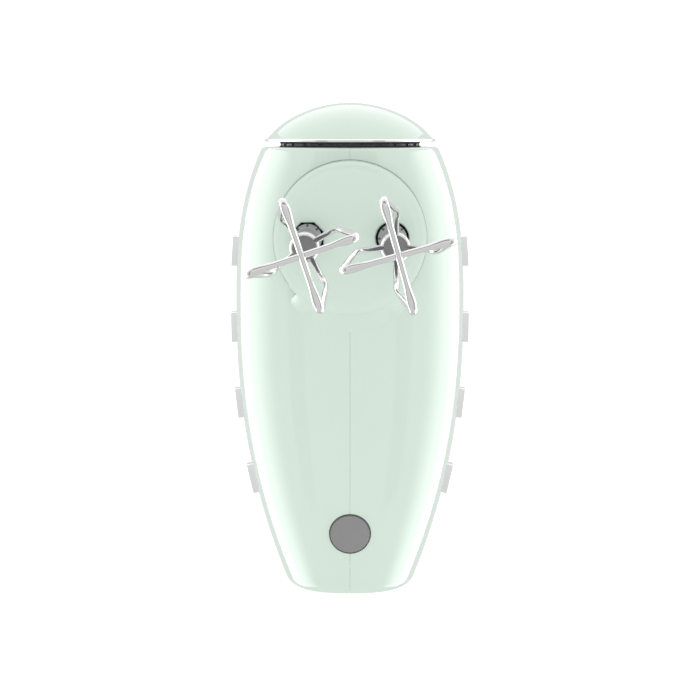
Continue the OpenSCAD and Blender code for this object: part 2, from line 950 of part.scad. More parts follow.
module worm() {
    // thread: a ridge swept up a right-handed helix, in phase with both wheels
    steps = 18;
    turns = worm_len / worm_lead - 0.7;
    half_root = worm_lead * 0.23;
    half_tip = worm_lead * 0.09;
    out_r = worm_pitch_r + gear_module * 0.95;
    n = floor(turns * steps);
    a0 = -360 * round(n / 2 / steps);
    rings = [
        for (i = [0 : n], p = [[worm_root_r - 0.3, -half_root], [out_r, -half_tip],
             [out_r, half_tip], [worm_root_r - 0.3, half_root]])
        let (a = a0 + 360 * i / steps)
        [p[0] * cos(a), p[0] * sin(a), spindle_z + worm_lead * a / 360 + p[1]]
    ];
    color(steel)
        difference() {
            union() {
                translate([0, 0, spindle_z - worm_len / 2])
                    cylinder(r = worm_root_r, h = worm_len);
                polyhedron(
                    rings,
                    concat(
                        [[3, 2, 1, 0]],
                        [for (i = [0 : n - 1], k = [0 : 3]) let (j = (k + 1) % 4)
                            [i * 4 + k, i * 4 + j, (i + 1) * 4 + j, (i + 1) * 4 + k]],
                        [[n * 4, n * 4 + 1, n * 4 + 2, n * 4 + 3]]
                    )
                );
            }
            cylinder(r = worm_bore_r, h = far);
        }
}

module motor_shaft() {
    neck_z = frame_z0 + 10;
    color(steel)
        union() {
            translate([0, 0, bracket_z0 - 3])
                cylinder(r = shaft_r, h = neck_z - bracket_z0 + 3);
            translate([0, 0, neck_z - eps])
                cylinder(r = worm_bore_r, h = frame_z1 - neck_z + 1);
        }
}

module armature_core() {
    slots = 12;
    color(steel)
        translate([0, 0, stack_z0])
            linear_extrude(stack_len)
                difference() {
                    circle(r = armature_r, $fn = 96);
                    circle(r = shaft_r);
                    for (i = [0 : slots - 1])
                        rotate(360 * i / slots) {
                            translate([armature_r * 0.72, 0])
                                circle(r = armature_r * 0.115, $fn = 24);
                            translate([armature_r * 0.75, -0.7])
                                square([armature_r, 1.4]);
                        }
                }
}

module armature_winding() {
    slots = 12;
    end_t = 5.5;
    bar_r = armature_r * 0.115 - 0.1;
    color(copper)
        union() {
            z_tube(armature_r - 1.6, shaft_r + 1, stack_z0 - end_t, stack_z0 - 0.1);
            z_tube(armature_r - 1.6, shaft_r + 1, stack_z1 + 0.1, stack_z1 + end_t);
            for (i = [0 : slots - 1])
                rotate([0, 0, 360 * i / slots])
                    translate([armature_r * 0.72, 0, stack_z0 - 1])
                        cylinder(r = bar_r, h = stack_len + 2, $fn = 24);
        }
}

module commutator() {
    color(copper)
        translate([0, 0, comm_z0])
            linear_extrude(9)
                difference() {
                    circle(r = comm_r);
                    circle(r = shaft_r);
                    for (i = [0 : 11])
                        rotate(360 * (i + 0.5) / 12)
                            translate([comm_r - 0.8, -0.25])
                                square([2, 0.5]);
                }
}

fan_z0 = stack_z1 + 8;
module cooling_fan() {
    fan_r = motor_screw_x - motor_screw_r - 2;
    blades = 11;
    color([0.9, 0.9, 0.88])
    {
        z_tube(fan_r, shaft_r, fan_z0, fan_z0 + 1.5);
        z_tube(6, shaft_r, fan_z0, fan_z0 + 9);
        for (i = [0 : blades - 1])
            rotate([0, 0, 360 * i / blades])
                translate([5.5, -0.6, fan_z0 + 1])
                    cube([fan_r - 6.2, 1.2, 8]);
    }
}

stator_x = 28;
stator_y = 31;
bore_gap = 0.6;
shoe_r = armature_r + bore_gap + 3;
pole_half = 7;
module stator_core() {
    color(steel)
        translate([0, 0, stack_z0])
            linear_extrude(stack_len)
                difference() {
                    union() {
                        difference() {
                            square(2 * [stator_x, stator_y], center = true);
                            square(2 * [stator_x - 5.5, stator_y - 5], center = true);
                            for (x = [-1, 1], y = [-1, 1])
                                translate([x * stator_x, y * stator_y])
                                    rotate(45)
                                        square(9, center = true);
                        }
                        square([2 * pole_half, 2 * stator_y - 2], center = true);
                        intersection() {
                            circle(r = shoe_r);
                            square([2 * pole_half + 10, 2 * stator_y], center = true);
                        }
                    }
                    circle(r = armature_r + bore_gap, $fn = 96);
                    for (x = [-motor_screw_x, motor_screw_x])
                        translate([x, 0])
                            circle(r = motor_screw_r + 0.1);
                }
}

module field_coils() {
    over = 6;
    y0 = shoe_r + 0.3;
    y1 = stator_y - 5.3;
    color(copper)
        for (side = [-1, 1])
            difference() {
                translate([0, side * (y0 + y1) / 2, (stack_z0 + stack_z1) / 2])
                    cube([2 * pole_half + 13, y1 - y0, stack_len + 2 * over], center = true);
                translate([0, side * (y0 + y1) / 2, (stack_z0 + stack_z1) / 2])
                    cube([2 * pole_half + 0.6, y1 - y0 + 2, stack_len + 0.6], center = true);
            }
}

module rear_bracket() {
    half = bracket_half;
    leg = 4;
    color(dark)
        difference() {
            union() {
                block([-half, -10, bracket_z0], [half, 10, bracket_z0 + bracket_t]);
                for (side = [-1, 1])
                    translate([side * (half - leg / 2), 0, (bracket_z0 + stack_z0) / 2])
                        cube([leg, 20, stack_z0 - bracket_z0], center = true);
                translate([0, 0, bracket_z0 - 1])
                    cylinder(r = bearing_r + 2.5, h = bracket_t + 3);
            }
            translate([0, 0, bracket_z0 - 2])
                cylinder(r = bearing_r, h = bracket_t + 6);
            for (side = [-1, 1])
                translate([side * motor_screw_x, 0, 0])
                    cylinder(r = motor_screw_r + 0.1, h = far);
            for (side = [-1, 1])
                translate([side * half, 0, brush_z])
                    cube([2 * leg + 2, holder_w, holder_w], center = true);
        }
}

module motor_bearings() {
    color(brass) {
        z_tube(bearing_r, shaft_r + run_gap, bracket_z0 - 1, bracket_z0 + bracket_t + 2);
        z_tube(bearing_r, shaft_r + run_gap, frame_z0, frame_z0 + frame_wall + 1);
    }
}

brush_w = 5;
holder_w = 7.4;
brush_in = comm_r + 0.15;
module brush_holders() {
    color(brass)
        for (side = [-1, 1])
            difference() {
                translate([side * (10.8 + 23.6) / 2, 0, brush_z])
                    cube([12.8, holder_w, holder_w], center = true);
                translate([side * 20, 0, brush_z])
                    cube([40, brush_w + 0.2, brush_w + 0.2], center = true);
            }
}

module carbon_brushes() {
    color(dark)
        for (side = [-1, 1])
            translate([side * (brush_in + 4), 0, brush_z])
                cube([8, brush_w, brush_w], center = true);
}

module brush_springs() {
    color(steel)
        for (side = [-1, 1])
            translate([side * (brush_in + 8.1), 0, brush_z])
                rotate([0, side * 90, 0])
                    z_tube(2, 1.2, 0, 6);
}

module motor_screws() {
    color(steel)
        for (side = [-1, 1])
            translate([side * motor_screw_x, 0, 0]) {
                translate([0, 0, bracket_z0 - 2.5])
                    cylinder(r = 2.9, h = 2.5);
                translate([0, 0, bracket_z0 - eps])
                    cylinder(r = motor_screw_r, h = frame_z0 + frame_wall + 1 - bracket_z0);
            }
}

module shell_screws() {
    color(steel)
        for (s = shell_screw_list)
            translate([0, s[0], s[1]])
                rotate([0, 90, 0]) {
                    translate([0, 0, -s[2] + 0.2])
                        cylinder(r = screw_r - 0.1, h = 2 * s[2]);
                    translate([0, 0, s[2]])
                        cylinder(r = screw_head_r, h = screw_head_h);
                }
}

// ---------- power board and cord inlet ----------

power_board_z = heel_z + 16;
module power_board() {
    color([0.1, 0.4, 0.2])
        block([-19, -21, power_board_z], [19, 19, power_board_z + 1.6]);
    color([0.8, 0.6, 0.2])
        block([-11, -20.5, power_board_z + 1.6], [11, -12, power_board_z + 13]);
}

module terminal_block() {
    color([0.9, 0.9, 0.88])
        difference() {
            block([-9, 11.5, power_board_z + 1.6], [9, 19, power_board_z + 10]);
            for (x = [-5, 5])
                translate([x, 0, power_board_z + 5.5])
                    y_cyl(1.6, 12.5, 25);
        }
}

gland_y1 = grip_top + 8;
gland_flange_r = gland_r + 1.6;
// Depth of the handle's inner surface beside the gland's flange, on the lower bend
gland_seat_y = bend_y - 0.3 + sqrt(pow(grip_bend_r + grip_t / 2 - wall, 2)
    - pow(rear_pillar_z + grip_bend_r - cord_z + gland_flange_r, 2));
module cord_gland() {
    color(dark)
        translate([0, 0, cord_z])
            difference() {
                union() {
                    y_cyl(gland_r, grip_top - 7, gland_y1);
                    y_cyl(gland_flange_r, grip_top - 7, gland_seat_y);
                    y_cyl(gland_flange_r, grip_top + 0.3, grip_top + 2);
                }
                y_cyl(cord_r, 0, far);
                for (i = [0 : 2])
                    translate([0, grip_top + 3 + 1.8 * i, 0])
                        difference() {
                            y_cyl(gland_r + 1, 0, 0.8);
                            y_cyl(gland_r - 0.8, -1, 2);
                        }
            }
}

// ---------- beaters ----------

ferrule_y0 = -plate_face_d - ferrule_reach;
ferrule_len = 11;
ferrule_r = 5.4;
collar_r = octagon_half - 0.4;

module beater_shaft(side) {
    color(chrome)
        at_spindle(side)
            union() {
                y_cyl(beater_shaft_d / 2, ferrule_y0 + 2, pin_y0 - 0.1);
                block([-spindle_r + 0.1, wing_y0, -wing_t / 2], [spindle_r - 0.1, wing_y0 + 4, wing_t / 2]);
            }
}

module left_beater_shaft() {
    beater_shaft(-1);
}

module right_beater_shaft() {
    beater_shaft(1);
}

module drip_collar(side) {
    notches = 8;
    color([0.62, 0.62, 0.63])
        at_spindle(side)
            difference() {
                union() {
                    y_cyl(collar_r, -plate_face_d - 3, -plate_face_d + 3);
                    y_cyl(collar_r - 0.9, -plate_face_d - 6, -plate_face_d - 3 + eps);
                }
                y_cyl(beater_shaft_d / 2, -far, far);
                for (i = [0 : notches - 1])
                    rotate([0, 360 * i / notches, 0])
                        translate([collar_r - 0.9, -plate_face_d - 4, -0.35])
                            cube([2, 5, 0.7]);
            }
}

module left_drip_collar() {
    drip_collar(-1);
}

module right_drip_collar() {
    drip_collar(1);
}

module beater_ferrule(side) {
    chamfer = 0.8;
    color([0.62, 0.62, 0.63])
        at_spindle(side)
            translate([0, ferrule_y0, 0])
                rotate([-90, 0, 0])
                    rotate_extrude()
                        polygon([
                            [0, 0], [ferrule_r - chamfer, 0], [ferrule_r, chamfer],
                            [ferrule_r, ferrule_len - chamfer], [ferrule_r - chamfer, ferrule_len],
                            [beater_shaft_d / 2, ferrule_len], [beater_shaft_d / 2, 2], [0, 2]
                        ]);
}

module left_beater_ferrule() {
    beater_ferrule(-1);
}

module right_beater_ferrule() {
    beater_ferrule(1);
}

// Point of a wire: radius, angle seen from the beaters' side, depth
function polar(r, a, y) = [r * cos(a), y, r * sin(a)];

// A bend at p between a and b, rounded over the length cut, in four points
function bend(a, p, b, cut) = let (
    p0 = p + cut * unit(a - p),
    p1 = p + cut * unit(b - p)
) [for (t = [0 : 1 / 3 : 1]) (1 - t) * (1 - t) * p0 + 2 * t * (1 - t) * p + t * t * p1];

// One leg of a loop, from the ferrule to the middle of its end bar
function wire_leg(a, twist, end_y) = let (
    root = polar(ferrule_r - 0.9, a + twist, ferrule_y0 + 3),
    elbow = polar(elbow_r, a + twist, -plate_face_d - elbow_reach),
    corner = polar(beater_r, a, end_y),
    middle = [0, end_y, 0]
) concat([root], bend(root, elbow, corner, 2.5), bend(elbow, corner, middle, 2.5), [middle]);

function reversed(v) = [for (i = [len(v) - 1 : -1 : 0]) v[i]];

// layer: 0 for the loop nearer the mixer, 1 for the loop that crosses over it
module beater_wire(side, layer) {
    phase = (side < 0 ? left_phase : right_phase) + 90 * layer;
    twist = -side * elbow_twist;
    end_y = -plate_face_d - beater_reach + wire_d * 1.06 * (0.5 - layer);
    leg = wire_leg(phase, twist, end_y);
    other = reversed(wire_leg(phase + 180, twist, end_y));
    color(chrome)
        at_spindle(side)
            tube(concat(leg, [for (i = [1 : len(other) - 1]) other[i]]), wire_d / 2, [0.3, 0.5, 1]);
}

module left_beater_wire_a() {
    beater_wire(-1, 0);
}

module left_beater_wire_b() {
    beater_wire(-1, 1);
}

module right_beater_wire_a() {
    beater_wire(1, 0);
}

module right_beater_wire_b() {
    beater_wire(1, 1);
}

left_shell();
right_shell();
spindle_plate();
nose_cap();
nose_ring();
nose_neck();
left_trim_bars();
right_trim_bars();
bowl_rest_pad();
heel_feet();
control_panel();
display_window();
display_module();
control_board();
tact_switches();
power_button();
turbo_button();
minus_button();
plus_button();
eject_button();
ejector_yoke();
ejector_spring();
left_ejector_pin();
right_ejector_pin();
gearbox_frame();
spindle_bushes();
spindle_seals();
left_spindle();
right_spindle();
left_worm_wheel();
right_worm_wheel();
worm();
motor_shaft();
worm_end_bush();
armature_core();
armature_winding();
commutator();
cooling_fan();
stator_core();
field_coils();
rear_bracket();
motor_bearings();
brush_holders();
carbon_brushes();
brush_springs();
motor_screws();
shell_screws();
power_board();
terminal_block();
cord_gland();
left_beater_shaft();
right_beater_shaft();
left_drip_collar();
right_drip_collar();
left_beater_ferrule();
right_beater_ferrule();
left_beater_wire_a();
left_beater_wire_b();
right_beater_wire_a();
right_beater_wire_b();
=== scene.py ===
"""Builds the hand mixer's visible pieces, finishes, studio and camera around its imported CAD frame."""

import json
import math

import bmesh
import bpy
import numpy as np
import openvdb
from bpy.props import FloatProperty, FloatVectorProperty, PointerProperty
from mathutils import Matrix, Vector

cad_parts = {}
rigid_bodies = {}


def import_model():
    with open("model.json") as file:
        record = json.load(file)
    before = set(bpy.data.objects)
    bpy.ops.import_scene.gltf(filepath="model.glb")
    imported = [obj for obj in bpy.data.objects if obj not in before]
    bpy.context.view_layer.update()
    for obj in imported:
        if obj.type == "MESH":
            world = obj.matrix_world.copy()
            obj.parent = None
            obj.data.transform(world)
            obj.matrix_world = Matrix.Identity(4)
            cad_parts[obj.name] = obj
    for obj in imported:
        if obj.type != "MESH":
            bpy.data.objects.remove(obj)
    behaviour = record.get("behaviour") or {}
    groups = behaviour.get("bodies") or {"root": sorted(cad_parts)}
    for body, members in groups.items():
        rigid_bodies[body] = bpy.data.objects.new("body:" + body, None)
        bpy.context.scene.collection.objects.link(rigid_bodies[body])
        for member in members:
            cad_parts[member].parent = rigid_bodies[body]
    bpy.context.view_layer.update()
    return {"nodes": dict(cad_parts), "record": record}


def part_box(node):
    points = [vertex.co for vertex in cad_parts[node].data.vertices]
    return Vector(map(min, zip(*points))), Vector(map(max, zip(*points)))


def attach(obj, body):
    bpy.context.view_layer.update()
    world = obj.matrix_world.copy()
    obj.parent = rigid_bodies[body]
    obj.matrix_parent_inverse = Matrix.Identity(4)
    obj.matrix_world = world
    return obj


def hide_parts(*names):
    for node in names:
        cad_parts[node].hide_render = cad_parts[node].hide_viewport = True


bl_info = {
    "name": "Hand mixer",
    "version": (1, 0, 0),
    "blender": (4, 5, 0),
    "location": "View3D > Sidebar > Hand mixer",
    "description": "Builds a two-beater hand mixer around its CAD frame",
    "category": "Object",
}

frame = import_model()
MM = 0.001
NODE_SLOTS = {}
for _part in frame["record"]["subparts"]:
    NODE_SLOTS[_part["node"]] = _part["material_slot"]


def box_mm(node):
    """Lowest and highest corner of a CAD node, in millimetres."""
    lo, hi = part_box(node)
    return np.array(lo) / MM, np.array(hi) / MM


# ---------- sizes shared by the pieces, in millimetres, in the CAD frame ----------

_shell_lo, _shell_hi = box_mm("left_shell")
_plate_lo, _plate_hi = box_mm("spindle_plate")
_shaft_lo, _shaft_hi = box_mm("right_beater_shaft")
HEEL_Z, FRONT_Z = _shell_lo[2], _shell_hi[2]
BODY_HALF = -_shell_lo[0]
BELLY = -_shell_lo[1]
GRIP_TOP = _shell_hi[1]
SPINDLE_X = (_shaft_lo[0] + _shaft_hi[0]) / 2
SPINDLE_Z = (_plate_lo[2] + _plate_hi[2]) / 2
PLATE_R = (_plate_hi[2] - _plate_lo[2]) / 2
PLATE_FACE = -_plate_lo[1]
PLATE_BACK = _plate_hi[1]
WIDEST = HEEL_Z + 113.8
HEEL_HALF = 24.4
FRONT_HALF = 35.5
HEEL_BELLY = 30.5
BACK = 40.0
HEEL_CORNER = 3.5
OVAL_POWER = 2.4
WALL = 2.2
GRIP_HALF_W = 16.5
GRIP_HALF_T = 15.0
GRIP_Y = GRIP_TOP - GRIP_HALF_T
GRIP_BEND = 24.0
BEND_Y = GRIP_Y - GRIP_BEND
REAR_PILLAR_Z = HEEL_Z + GRIP_HALF_T
FRONT_PILLAR_Z = SPINDLE_Z + 4.5
PILLAR_FLARE = 7.0
SIDES = (("left", -1), ("right", 1))
# the spindle plate: the angles count from level down to straight below its middle, in degrees
PLATE_CROWN = 0.35
RIM_LEAN = 38
LINE_ENDS = 36.0
FLOW_STARTS = 43.0
FLOW_REACH = 4.0
SEAT_DEPTH = 9.0
SEAT_GAP = 0.11
WELL_GAP = 0.25
MOUTH_R = 29.2
GLAND_R = 5.5
SHAFT_HOLE = 2.72
WIRE_R = 1.1
PAD_R = 16.3 / 2
OUTSIDE = GRIP_TOP + 6
SCREW_WELLS = (
    (22, 12, 10),
    (GRIP_Y - 2, HEEL_Z + 58, 8),
    (31, SPINDLE_Z - 46.5, 12),
    (25, FRONT_Z - 10, 10),
)


# ---------- settings ----------


def length(name, text, value, least):
    return FloatProperty(name=name, description=text, default=value, unit="LENGTH", min=least)


def shade_of(name, text, value):
    return FloatVectorProperty(
        name=name, description=text, default=value, subtype="COLOR", size=3, min=0.0, max=1.0
    )


def brightness(name, text, value):
    return FloatProperty(name=name, description=text, default=value, min=0.0)


class MixerSizes(bpy.types.PropertyGroup):
    """Small sizes of the visible pieces."""

    seam_gap: length("Seam gap", "Gap between the two shells", 0.00006, 0.0)
    front_edge: length("Front edge", "Rounding of the flat front face's edge", 0.0009, 0.0002)
    handle_blend: length("Handle blend", "Size of the soft join between handle and body", 0.009, 0.001)
    plate_edge: length("Plate rim", "Width of the spindle plate's soft rim", 0.0054, 0.0005)
    corner_spread: FloatProperty(
        name="Wire corner spread",
        description="How much wider a beater wire is where it was pressed into a corner",
        default=0.42,
        subtype="FACTOR",
        min=0.0,
        max=0.6,
    )


class MixerFinishes(bpy.types.PropertyGroup):
    """Colours of the finishes."""

    mint: shade_of("Shell colour", "Colour of the glossy shells", (0.60, 0.715, 0.63))
    chrome: shade_of("Chrome colour", "Colour of the chrome trim", (0.80, 0.80, 0.81))
    steel: shade_of("Wire colour", "Colour of the beater wires", (0.68, 0.675, 0.675))
    pad: shade_of("Pad colour", "Colour of the round rest pad", (0.235, 0.235, 0.235))


class MixerStudio(bpy.types.PropertyGroup):
    """Light of the studio."""

    room: brightness("Room light", "Brightness of the white room", 1.0)
    strips: brightness("Strip lights", "Brightness of the long lights at the sides", 2.5)
    overhead: brightness("Overhead light", "Brightness of the light overhead", 0.8)


def sizes():
    return bpy.context.scene.mixer_sizes


def finishes():
    return bpy.context.scene.mixer_finishes


# ---------- node groups ----------


def group(name, inputs, outputs):
    """An empty shader node group with named sockets, and its two end nodes."""
    tree = bpy.data.node_groups.new(name, "ShaderNodeTree")
    for label, kind, value in inputs:
        socket = tree.interface.new_socket(name=label, in_out="INPUT", socket_type=kind)
        socket.default_value = value
    for label, kind in outputs:
        tree.interface.new_socket(name=label, in_out="OUTPUT", socket_type=kind)
    return tree, tree.nodes.new("NodeGroupInput"), tree.nodes.new("NodeGroupOutput")


def add(tree, kind, links=None, **settings):
    """A node with its settings, and its inputs linked or set."""
    node = tree.nodes.new(kind)
    for key, value in settings.items():
        setattr(node, key, value)
    for key, value in (links or {}).items():
        socket = node.inputs[key]
        if isinstance(value, bpy.types.NodeSocket):
            tree.links.new(value, socket)
        else:
            socket.default_value = value
    return node


def maths(tree, operation, a, b=0.0, c=0.0):
    return add(tree, "ShaderNodeMath", {0: a, 1: b, 2: c}, operation=operation).outputs[0]


def cloud(tree, given, detail, **more):
    """Noise at the group's own scale, in object space unless given another place."""
    links = {"Scale": given.outputs["Scale"], "Detail": detail, **more}
    if "Vector" not in links:
        links["Vector"] = add(tree, "ShaderNodeTexCoord").outputs["Object"]
    return add(tree, "ShaderNodeTexNoise", links).outputs["Fac"]


def once(make):
    """Makes a node group the first time, and finds it again after that."""

    def found():
        name = make.__name__
        return bpy.data.node_groups.get(name) or make(name)

    return found


FLOAT, COLOUR, VECTOR = "NodeSocketFloat", "NodeSocketColor", "NodeSocketVector"


@once
def fine_grain(name):
    """Height of a fine moulded grain."""
    tree, given, out = group(name, [("Scale", FLOAT, 900.0), ("Strength", FLOAT, 1.0)], [("Height", FLOAT)])
    noise = cloud(tree, given, 3.0, Roughness=0.6)
    height = maths(tree, "MULTIPLY", noise, given.outputs["Strength"])
    tree.links.new(height, out.inputs["Height"])
    return tree


@once
def colour_drift(name):
    """A colour that drifts a little lighter and darker over the surface."""
    tree, given, out = group(
        name,
        [("Color", COLOUR, (0.5, 0.5, 0.5, 1)), ("Amount", FLOAT, 0.03), ("Scale", FLOAT, 30.0)],
        [("Color", COLOUR)],
    )
    swing = maths(tree, "SUBTRACT", cloud(tree, given, 2.0), 0.5)
    swing = maths(tree, "MULTIPLY", swing, given.outputs["Amount"])
    level = maths(tree, "MULTIPLY_ADD", swing, 2.0, 1.0)
    scaled = add(tree, "ShaderNodeVectorMath", {0: given.outputs["Color"], "Scale": level}, operation="SCALE")
    tree.links.new(scaled.outputs["Vector"], out.inputs["Color"])
    return tree


@once
def rough_drift(name):
    """Roughness that varies with faint smudges and handling marks."""
    tree, given, out = group(
        name, [("Base", FLOAT, 0.3), ("Spread", FLOAT, 0.05), ("Scale", FLOAT, 60.0)], [("Roughness", FLOAT)]
    )
    swing = maths(tree, "SUBTRACT", cloud(tree, given, 4.0), 0.5)
    swing = maths(tree, "MULTIPLY", swing, given.outputs["Spread"])
    value = maths(tree, "ADD", given.outputs["Base"], swing)
    tree.links.new(maths(tree, "MAXIMUM", value, 0.02), out.inputs["Roughness"])
    return tree


@once
def brushed_lines(name):
    """Fine parallel lines left by brushing or turning: a height and a mask."""
    tree, given, out = group(
        name,
        [("Stretch", VECTOR, (1.0, 1.0, 1.0)), ("Scale", FLOAT, 400.0), ("Strength", FLOAT, 1.0)],
        [("Height", FLOAT), ("Mask", FLOAT)],
    )
    place = add(tree, "ShaderNodeTexCoord").outputs["Object"]
    long = add(tree, "ShaderNodeVectorMath", {0: place, 1: given.outputs["Stretch"]}, operation="MULTIPLY")
    noise = cloud(tree, given, 2.0, Vector=long.outputs[0])
    tree.links.new(maths(tree, "MULTIPLY", noise, given.outputs["Strength"]), out.inputs["Height"])
    tree.links.new(noise, out.inputs["Mask"])
    return tree


@once
def edge_wear(name):
    """A mask of the rubbed outer edges, broken up by noise."""
    tree, given, out = group(name, [("Amount", FLOAT, 0.5), ("Scale", FLOAT, 300.0)], [("Mask", FLOAT)])
    edge = add(tree, "ShaderNodeNewGeometry").outputs["Pointiness"]
    sharp = add(tree, "ShaderNodeMapRange", {"Value": edge, "From Min": 0.54, "From Max": 0.66})
    noise = cloud(tree, given, 3.0)
    broken = add(tree, "ShaderNodeMapRange", {"Value": noise, "From Min": 0.4, "From Max": 0.6})
    mask = maths(tree, "MULTIPLY", sharp.outputs["Result"], broken.outputs["Result"])
    tree.links.new(maths(tree, "MULTIPLY", mask, given.outputs["Amount"]), out.inputs["Mask"])
    return tree


def placed(tree, group_tree, **values):
    """A node group placed in a material with its own values."""
    node = tree.nodes.new("ShaderNodeGroup")
    node.node_tree = group_tree
    for key, value in values.items():
        node.inputs[key].default_value = value
    return node


# ---------- finishes ----------


def finish(
    slot,
    colour,
    rough,
    metal=0.0,
    drift=0.03,
    spread=0.05,
    grain=None,
    lines=None,
    wear=None,
    coat=0.0,
    ior=1.5,
    glow=0.0,
):
    """A procedural material: drifting colour and roughness, then grain, lines and edge wear as asked.
    grain and lines are (scale, height in metres); lines also takes a stretch; wear is (amount, colour)."""
    mat = bpy.data.materials.new(slot)
    mat.use_nodes = True
    tree = mat.node_tree
    shader = tree.nodes["Principled BSDF"]
    shader.inputs["Metallic"].default_value = metal
    shader.inputs["IOR"].default_value = ior
    shader.inputs["Coat Weight"].default_value = coat
    shader.inputs["Coat Roughness"].default_value = 0.03
    tone = placed(tree, colour_drift(), Color=(*colour, 1), Amount=drift, Scale=35.0).outputs["Color"]
    if wear:
        amount, worn = wear
        mask = placed(tree, edge_wear(), Amount=amount, Scale=400.0).outputs["Mask"]
        mix = add(tree, "ShaderNodeMix", {"Factor": mask, "A": tone, "B": (*worn, 1)}, data_type="RGBA")
        tone = mix.outputs["Result"]
    tree.links.new(tone, shader.inputs["Base Color"])
    smudge = placed(tree, rough_drift(), Base=rough, Spread=spread, Scale=70.0)
    tree.links.new(smudge.outputs["Roughness"], shader.inputs["Roughness"])
    heights = []
    if grain:
        heights.append((placed(tree, fine_grain(), Scale=grain[0], Strength=1.0).outputs["Height"], grain[1]))
    if lines:
        scale, depth, stretch = lines
        node = placed(tree, brushed_lines(), Stretch=stretch, Scale=scale, Strength=1.0)
        heights.append((node.outputs["Height"], depth))
    normal = None
    for height, depth in heights:
        bump = add(tree, "ShaderNodeBump", {"Height": height, "Distance": depth, "Strength": 1.0})
        if normal is not None:
            tree.links.new(normal, bump.inputs["Normal"])
        normal = bump.outputs["Normal"]
    if normal is not None:
        tree.links.new(normal, shader.inputs["Normal"])
    if glow:
        tree.links.new(tone, shader.inputs["Emission Color"])
        shader.inputs["Emission Strength"].default_value = glow
    return mat


SMOKED_CLEAR = 0.6
TURNED = (1.0, 1.0, 0.02)


def finish_table():
    f = finishes()
    return {
        "mint_plastic": (f.mint, 0.09, 0.0, dict(drift=0.012, spread=0.03, grain=(1500.0, 0.0000012), coat=0.25)),
        "chrome": (f.chrome, 0.10, 1.0, dict(drift=0.03, spread=0.05, grain=(700.0, 0.0000015))),
        "polished_steel": (
            f.steel, 0.13, 1.0, dict(drift=0.05, spread=0.08, lines=(900.0, 0.000004, (1, 0.06, 1))),
        ),
        "ferrule_steel": (
            (0.60, 0.60, 0.60), 0.24, 1.0, dict(drift=0.05, spread=0.1, lines=(1500.0, 0.00001, (1, 0.05, 1))),
        ),
        # a darker copy of the ferrule steel for the end face: painted shade where the face looks at the dim front
        "ferrule_end_painted_shade": (
            (0.24, 0.24, 0.245), 0.38, 1.0,
            dict(drift=0.25, spread=0.2, lines=(1800.0, 0.00004, (1, 0.05, 0.3))),
        ),
        "steel": (
            (0.56, 0.57, 0.58), 0.32, 1.0,
            dict(drift=0.06, spread=0.12, lines=(900.0, 0.00001, TURNED), wear=(0.4, (0.8, 0.8, 0.8))),
        ),
        "aluminium": (
            (0.66, 0.67, 0.68), 0.42, 1.0,
            dict(drift=0.06, spread=0.1, grain=(600.0, 0.00005), wear=(0.5, (0.85, 0.85, 0.86))),
        ),
        "brass": (
            (0.72, 0.53, 0.24), 0.3, 1.0,
            dict(drift=0.06, spread=0.1, lines=(1200.0, 0.00001, TURNED), wear=(0.4, (0.9, 0.75, 0.45))),
        ),
        "copper": (
            (0.62, 0.25, 0.11), 0.3, 0.9, dict(drift=0.1, spread=0.1, lines=(2500.0, 0.0001, (1, 1, 0.03))),
        ),
        "dark_plastic": (
            (0.12, 0.12, 0.122), 0.4, 0.0,
            dict(drift=0.06, spread=0.08, grain=(1400.0, 0.00002), wear=(0.25, (0.2, 0.2, 0.2))),
        ),
        "black_gloss": (
            (0.012, 0.012, 0.014), 0.1, 0.0, dict(drift=0.1, spread=0.06, grain=(900.0, 0.000002), coat=0.4),
        ),
        "display_glass": (
            (0.05, 0.06, 0.07), 0.04, 0.0, dict(drift=0.02, spread=0.02, grain=(40.0, 0.000004)),
        ),
        "display_face": (
            (0.5, 0.58, 0.6), 0.5, 0.0, dict(drift=0.05, spread=0.05, grain=(1500.0, 0.00001), glow=0.15),
        ),
        "circuit_board": (
            (0.02, 0.11, 0.045), 0.35, 0.0,
            dict(drift=0.3, spread=0.15, grain=(1800.0, 0.00003), wear=(0.3, (0.5, 0.42, 0.2))),
        ),
        "nylon": ((0.72, 0.69, 0.6), 0.38, 0.0, dict(drift=0.04, spread=0.1, grain=(900.0, 0.00002))),
        "grey_plastic": (
            (0.27, 0.27, 0.28), 0.25, 0.0,
            dict(drift=0.04, spread=0.1, grain=(1200.0, 0.00001), wear=(0.3, (0.6, 0.6, 0.6))),
        ),
        "grey_rubber": (f.pad, 0.55, 0.0, dict(drift=0.05, spread=0.1, grain=(2200.0, 0.00003), ior=1.4)),
        "black_rubber": (
            (0.03, 0.03, 0.03), 0.6, 0.0, dict(drift=0.12, spread=0.1, grain=(1600.0, 0.00005), ior=1.4),
        ),
        "carbon": ((0.02, 0.02, 0.021), 0.45, 0.0, dict(drift=0.25, spread=0.15, grain=(2600.0, 0.00006))),
    }


_made = {}


def all_finishes():
    """All finishes by material slot, made once."""
    if not _made:
        for slot, (colour, rough, metal, more) in finish_table().items():
            _made[slot] = finish(slot, colour, rough, metal, **more)
        glass = _made["display_glass"].node_tree.nodes["Principled BSDF"]
        glass.inputs["Transmission Weight"].default_value = SMOKED_CLEAR
    return _made


# ---------- mesh helpers (all take millimetres) ----------


def new_object(name, points, faces):
    mesh = bpy.data.meshes.new(name)
    mesh.from_pydata(np.asarray(points, float) * MM, [], faces)
    mesh.update()
    obj = bpy.data.objects.new(name, mesh)
    bpy.context.scene.collection.objects.link(obj)
    return obj


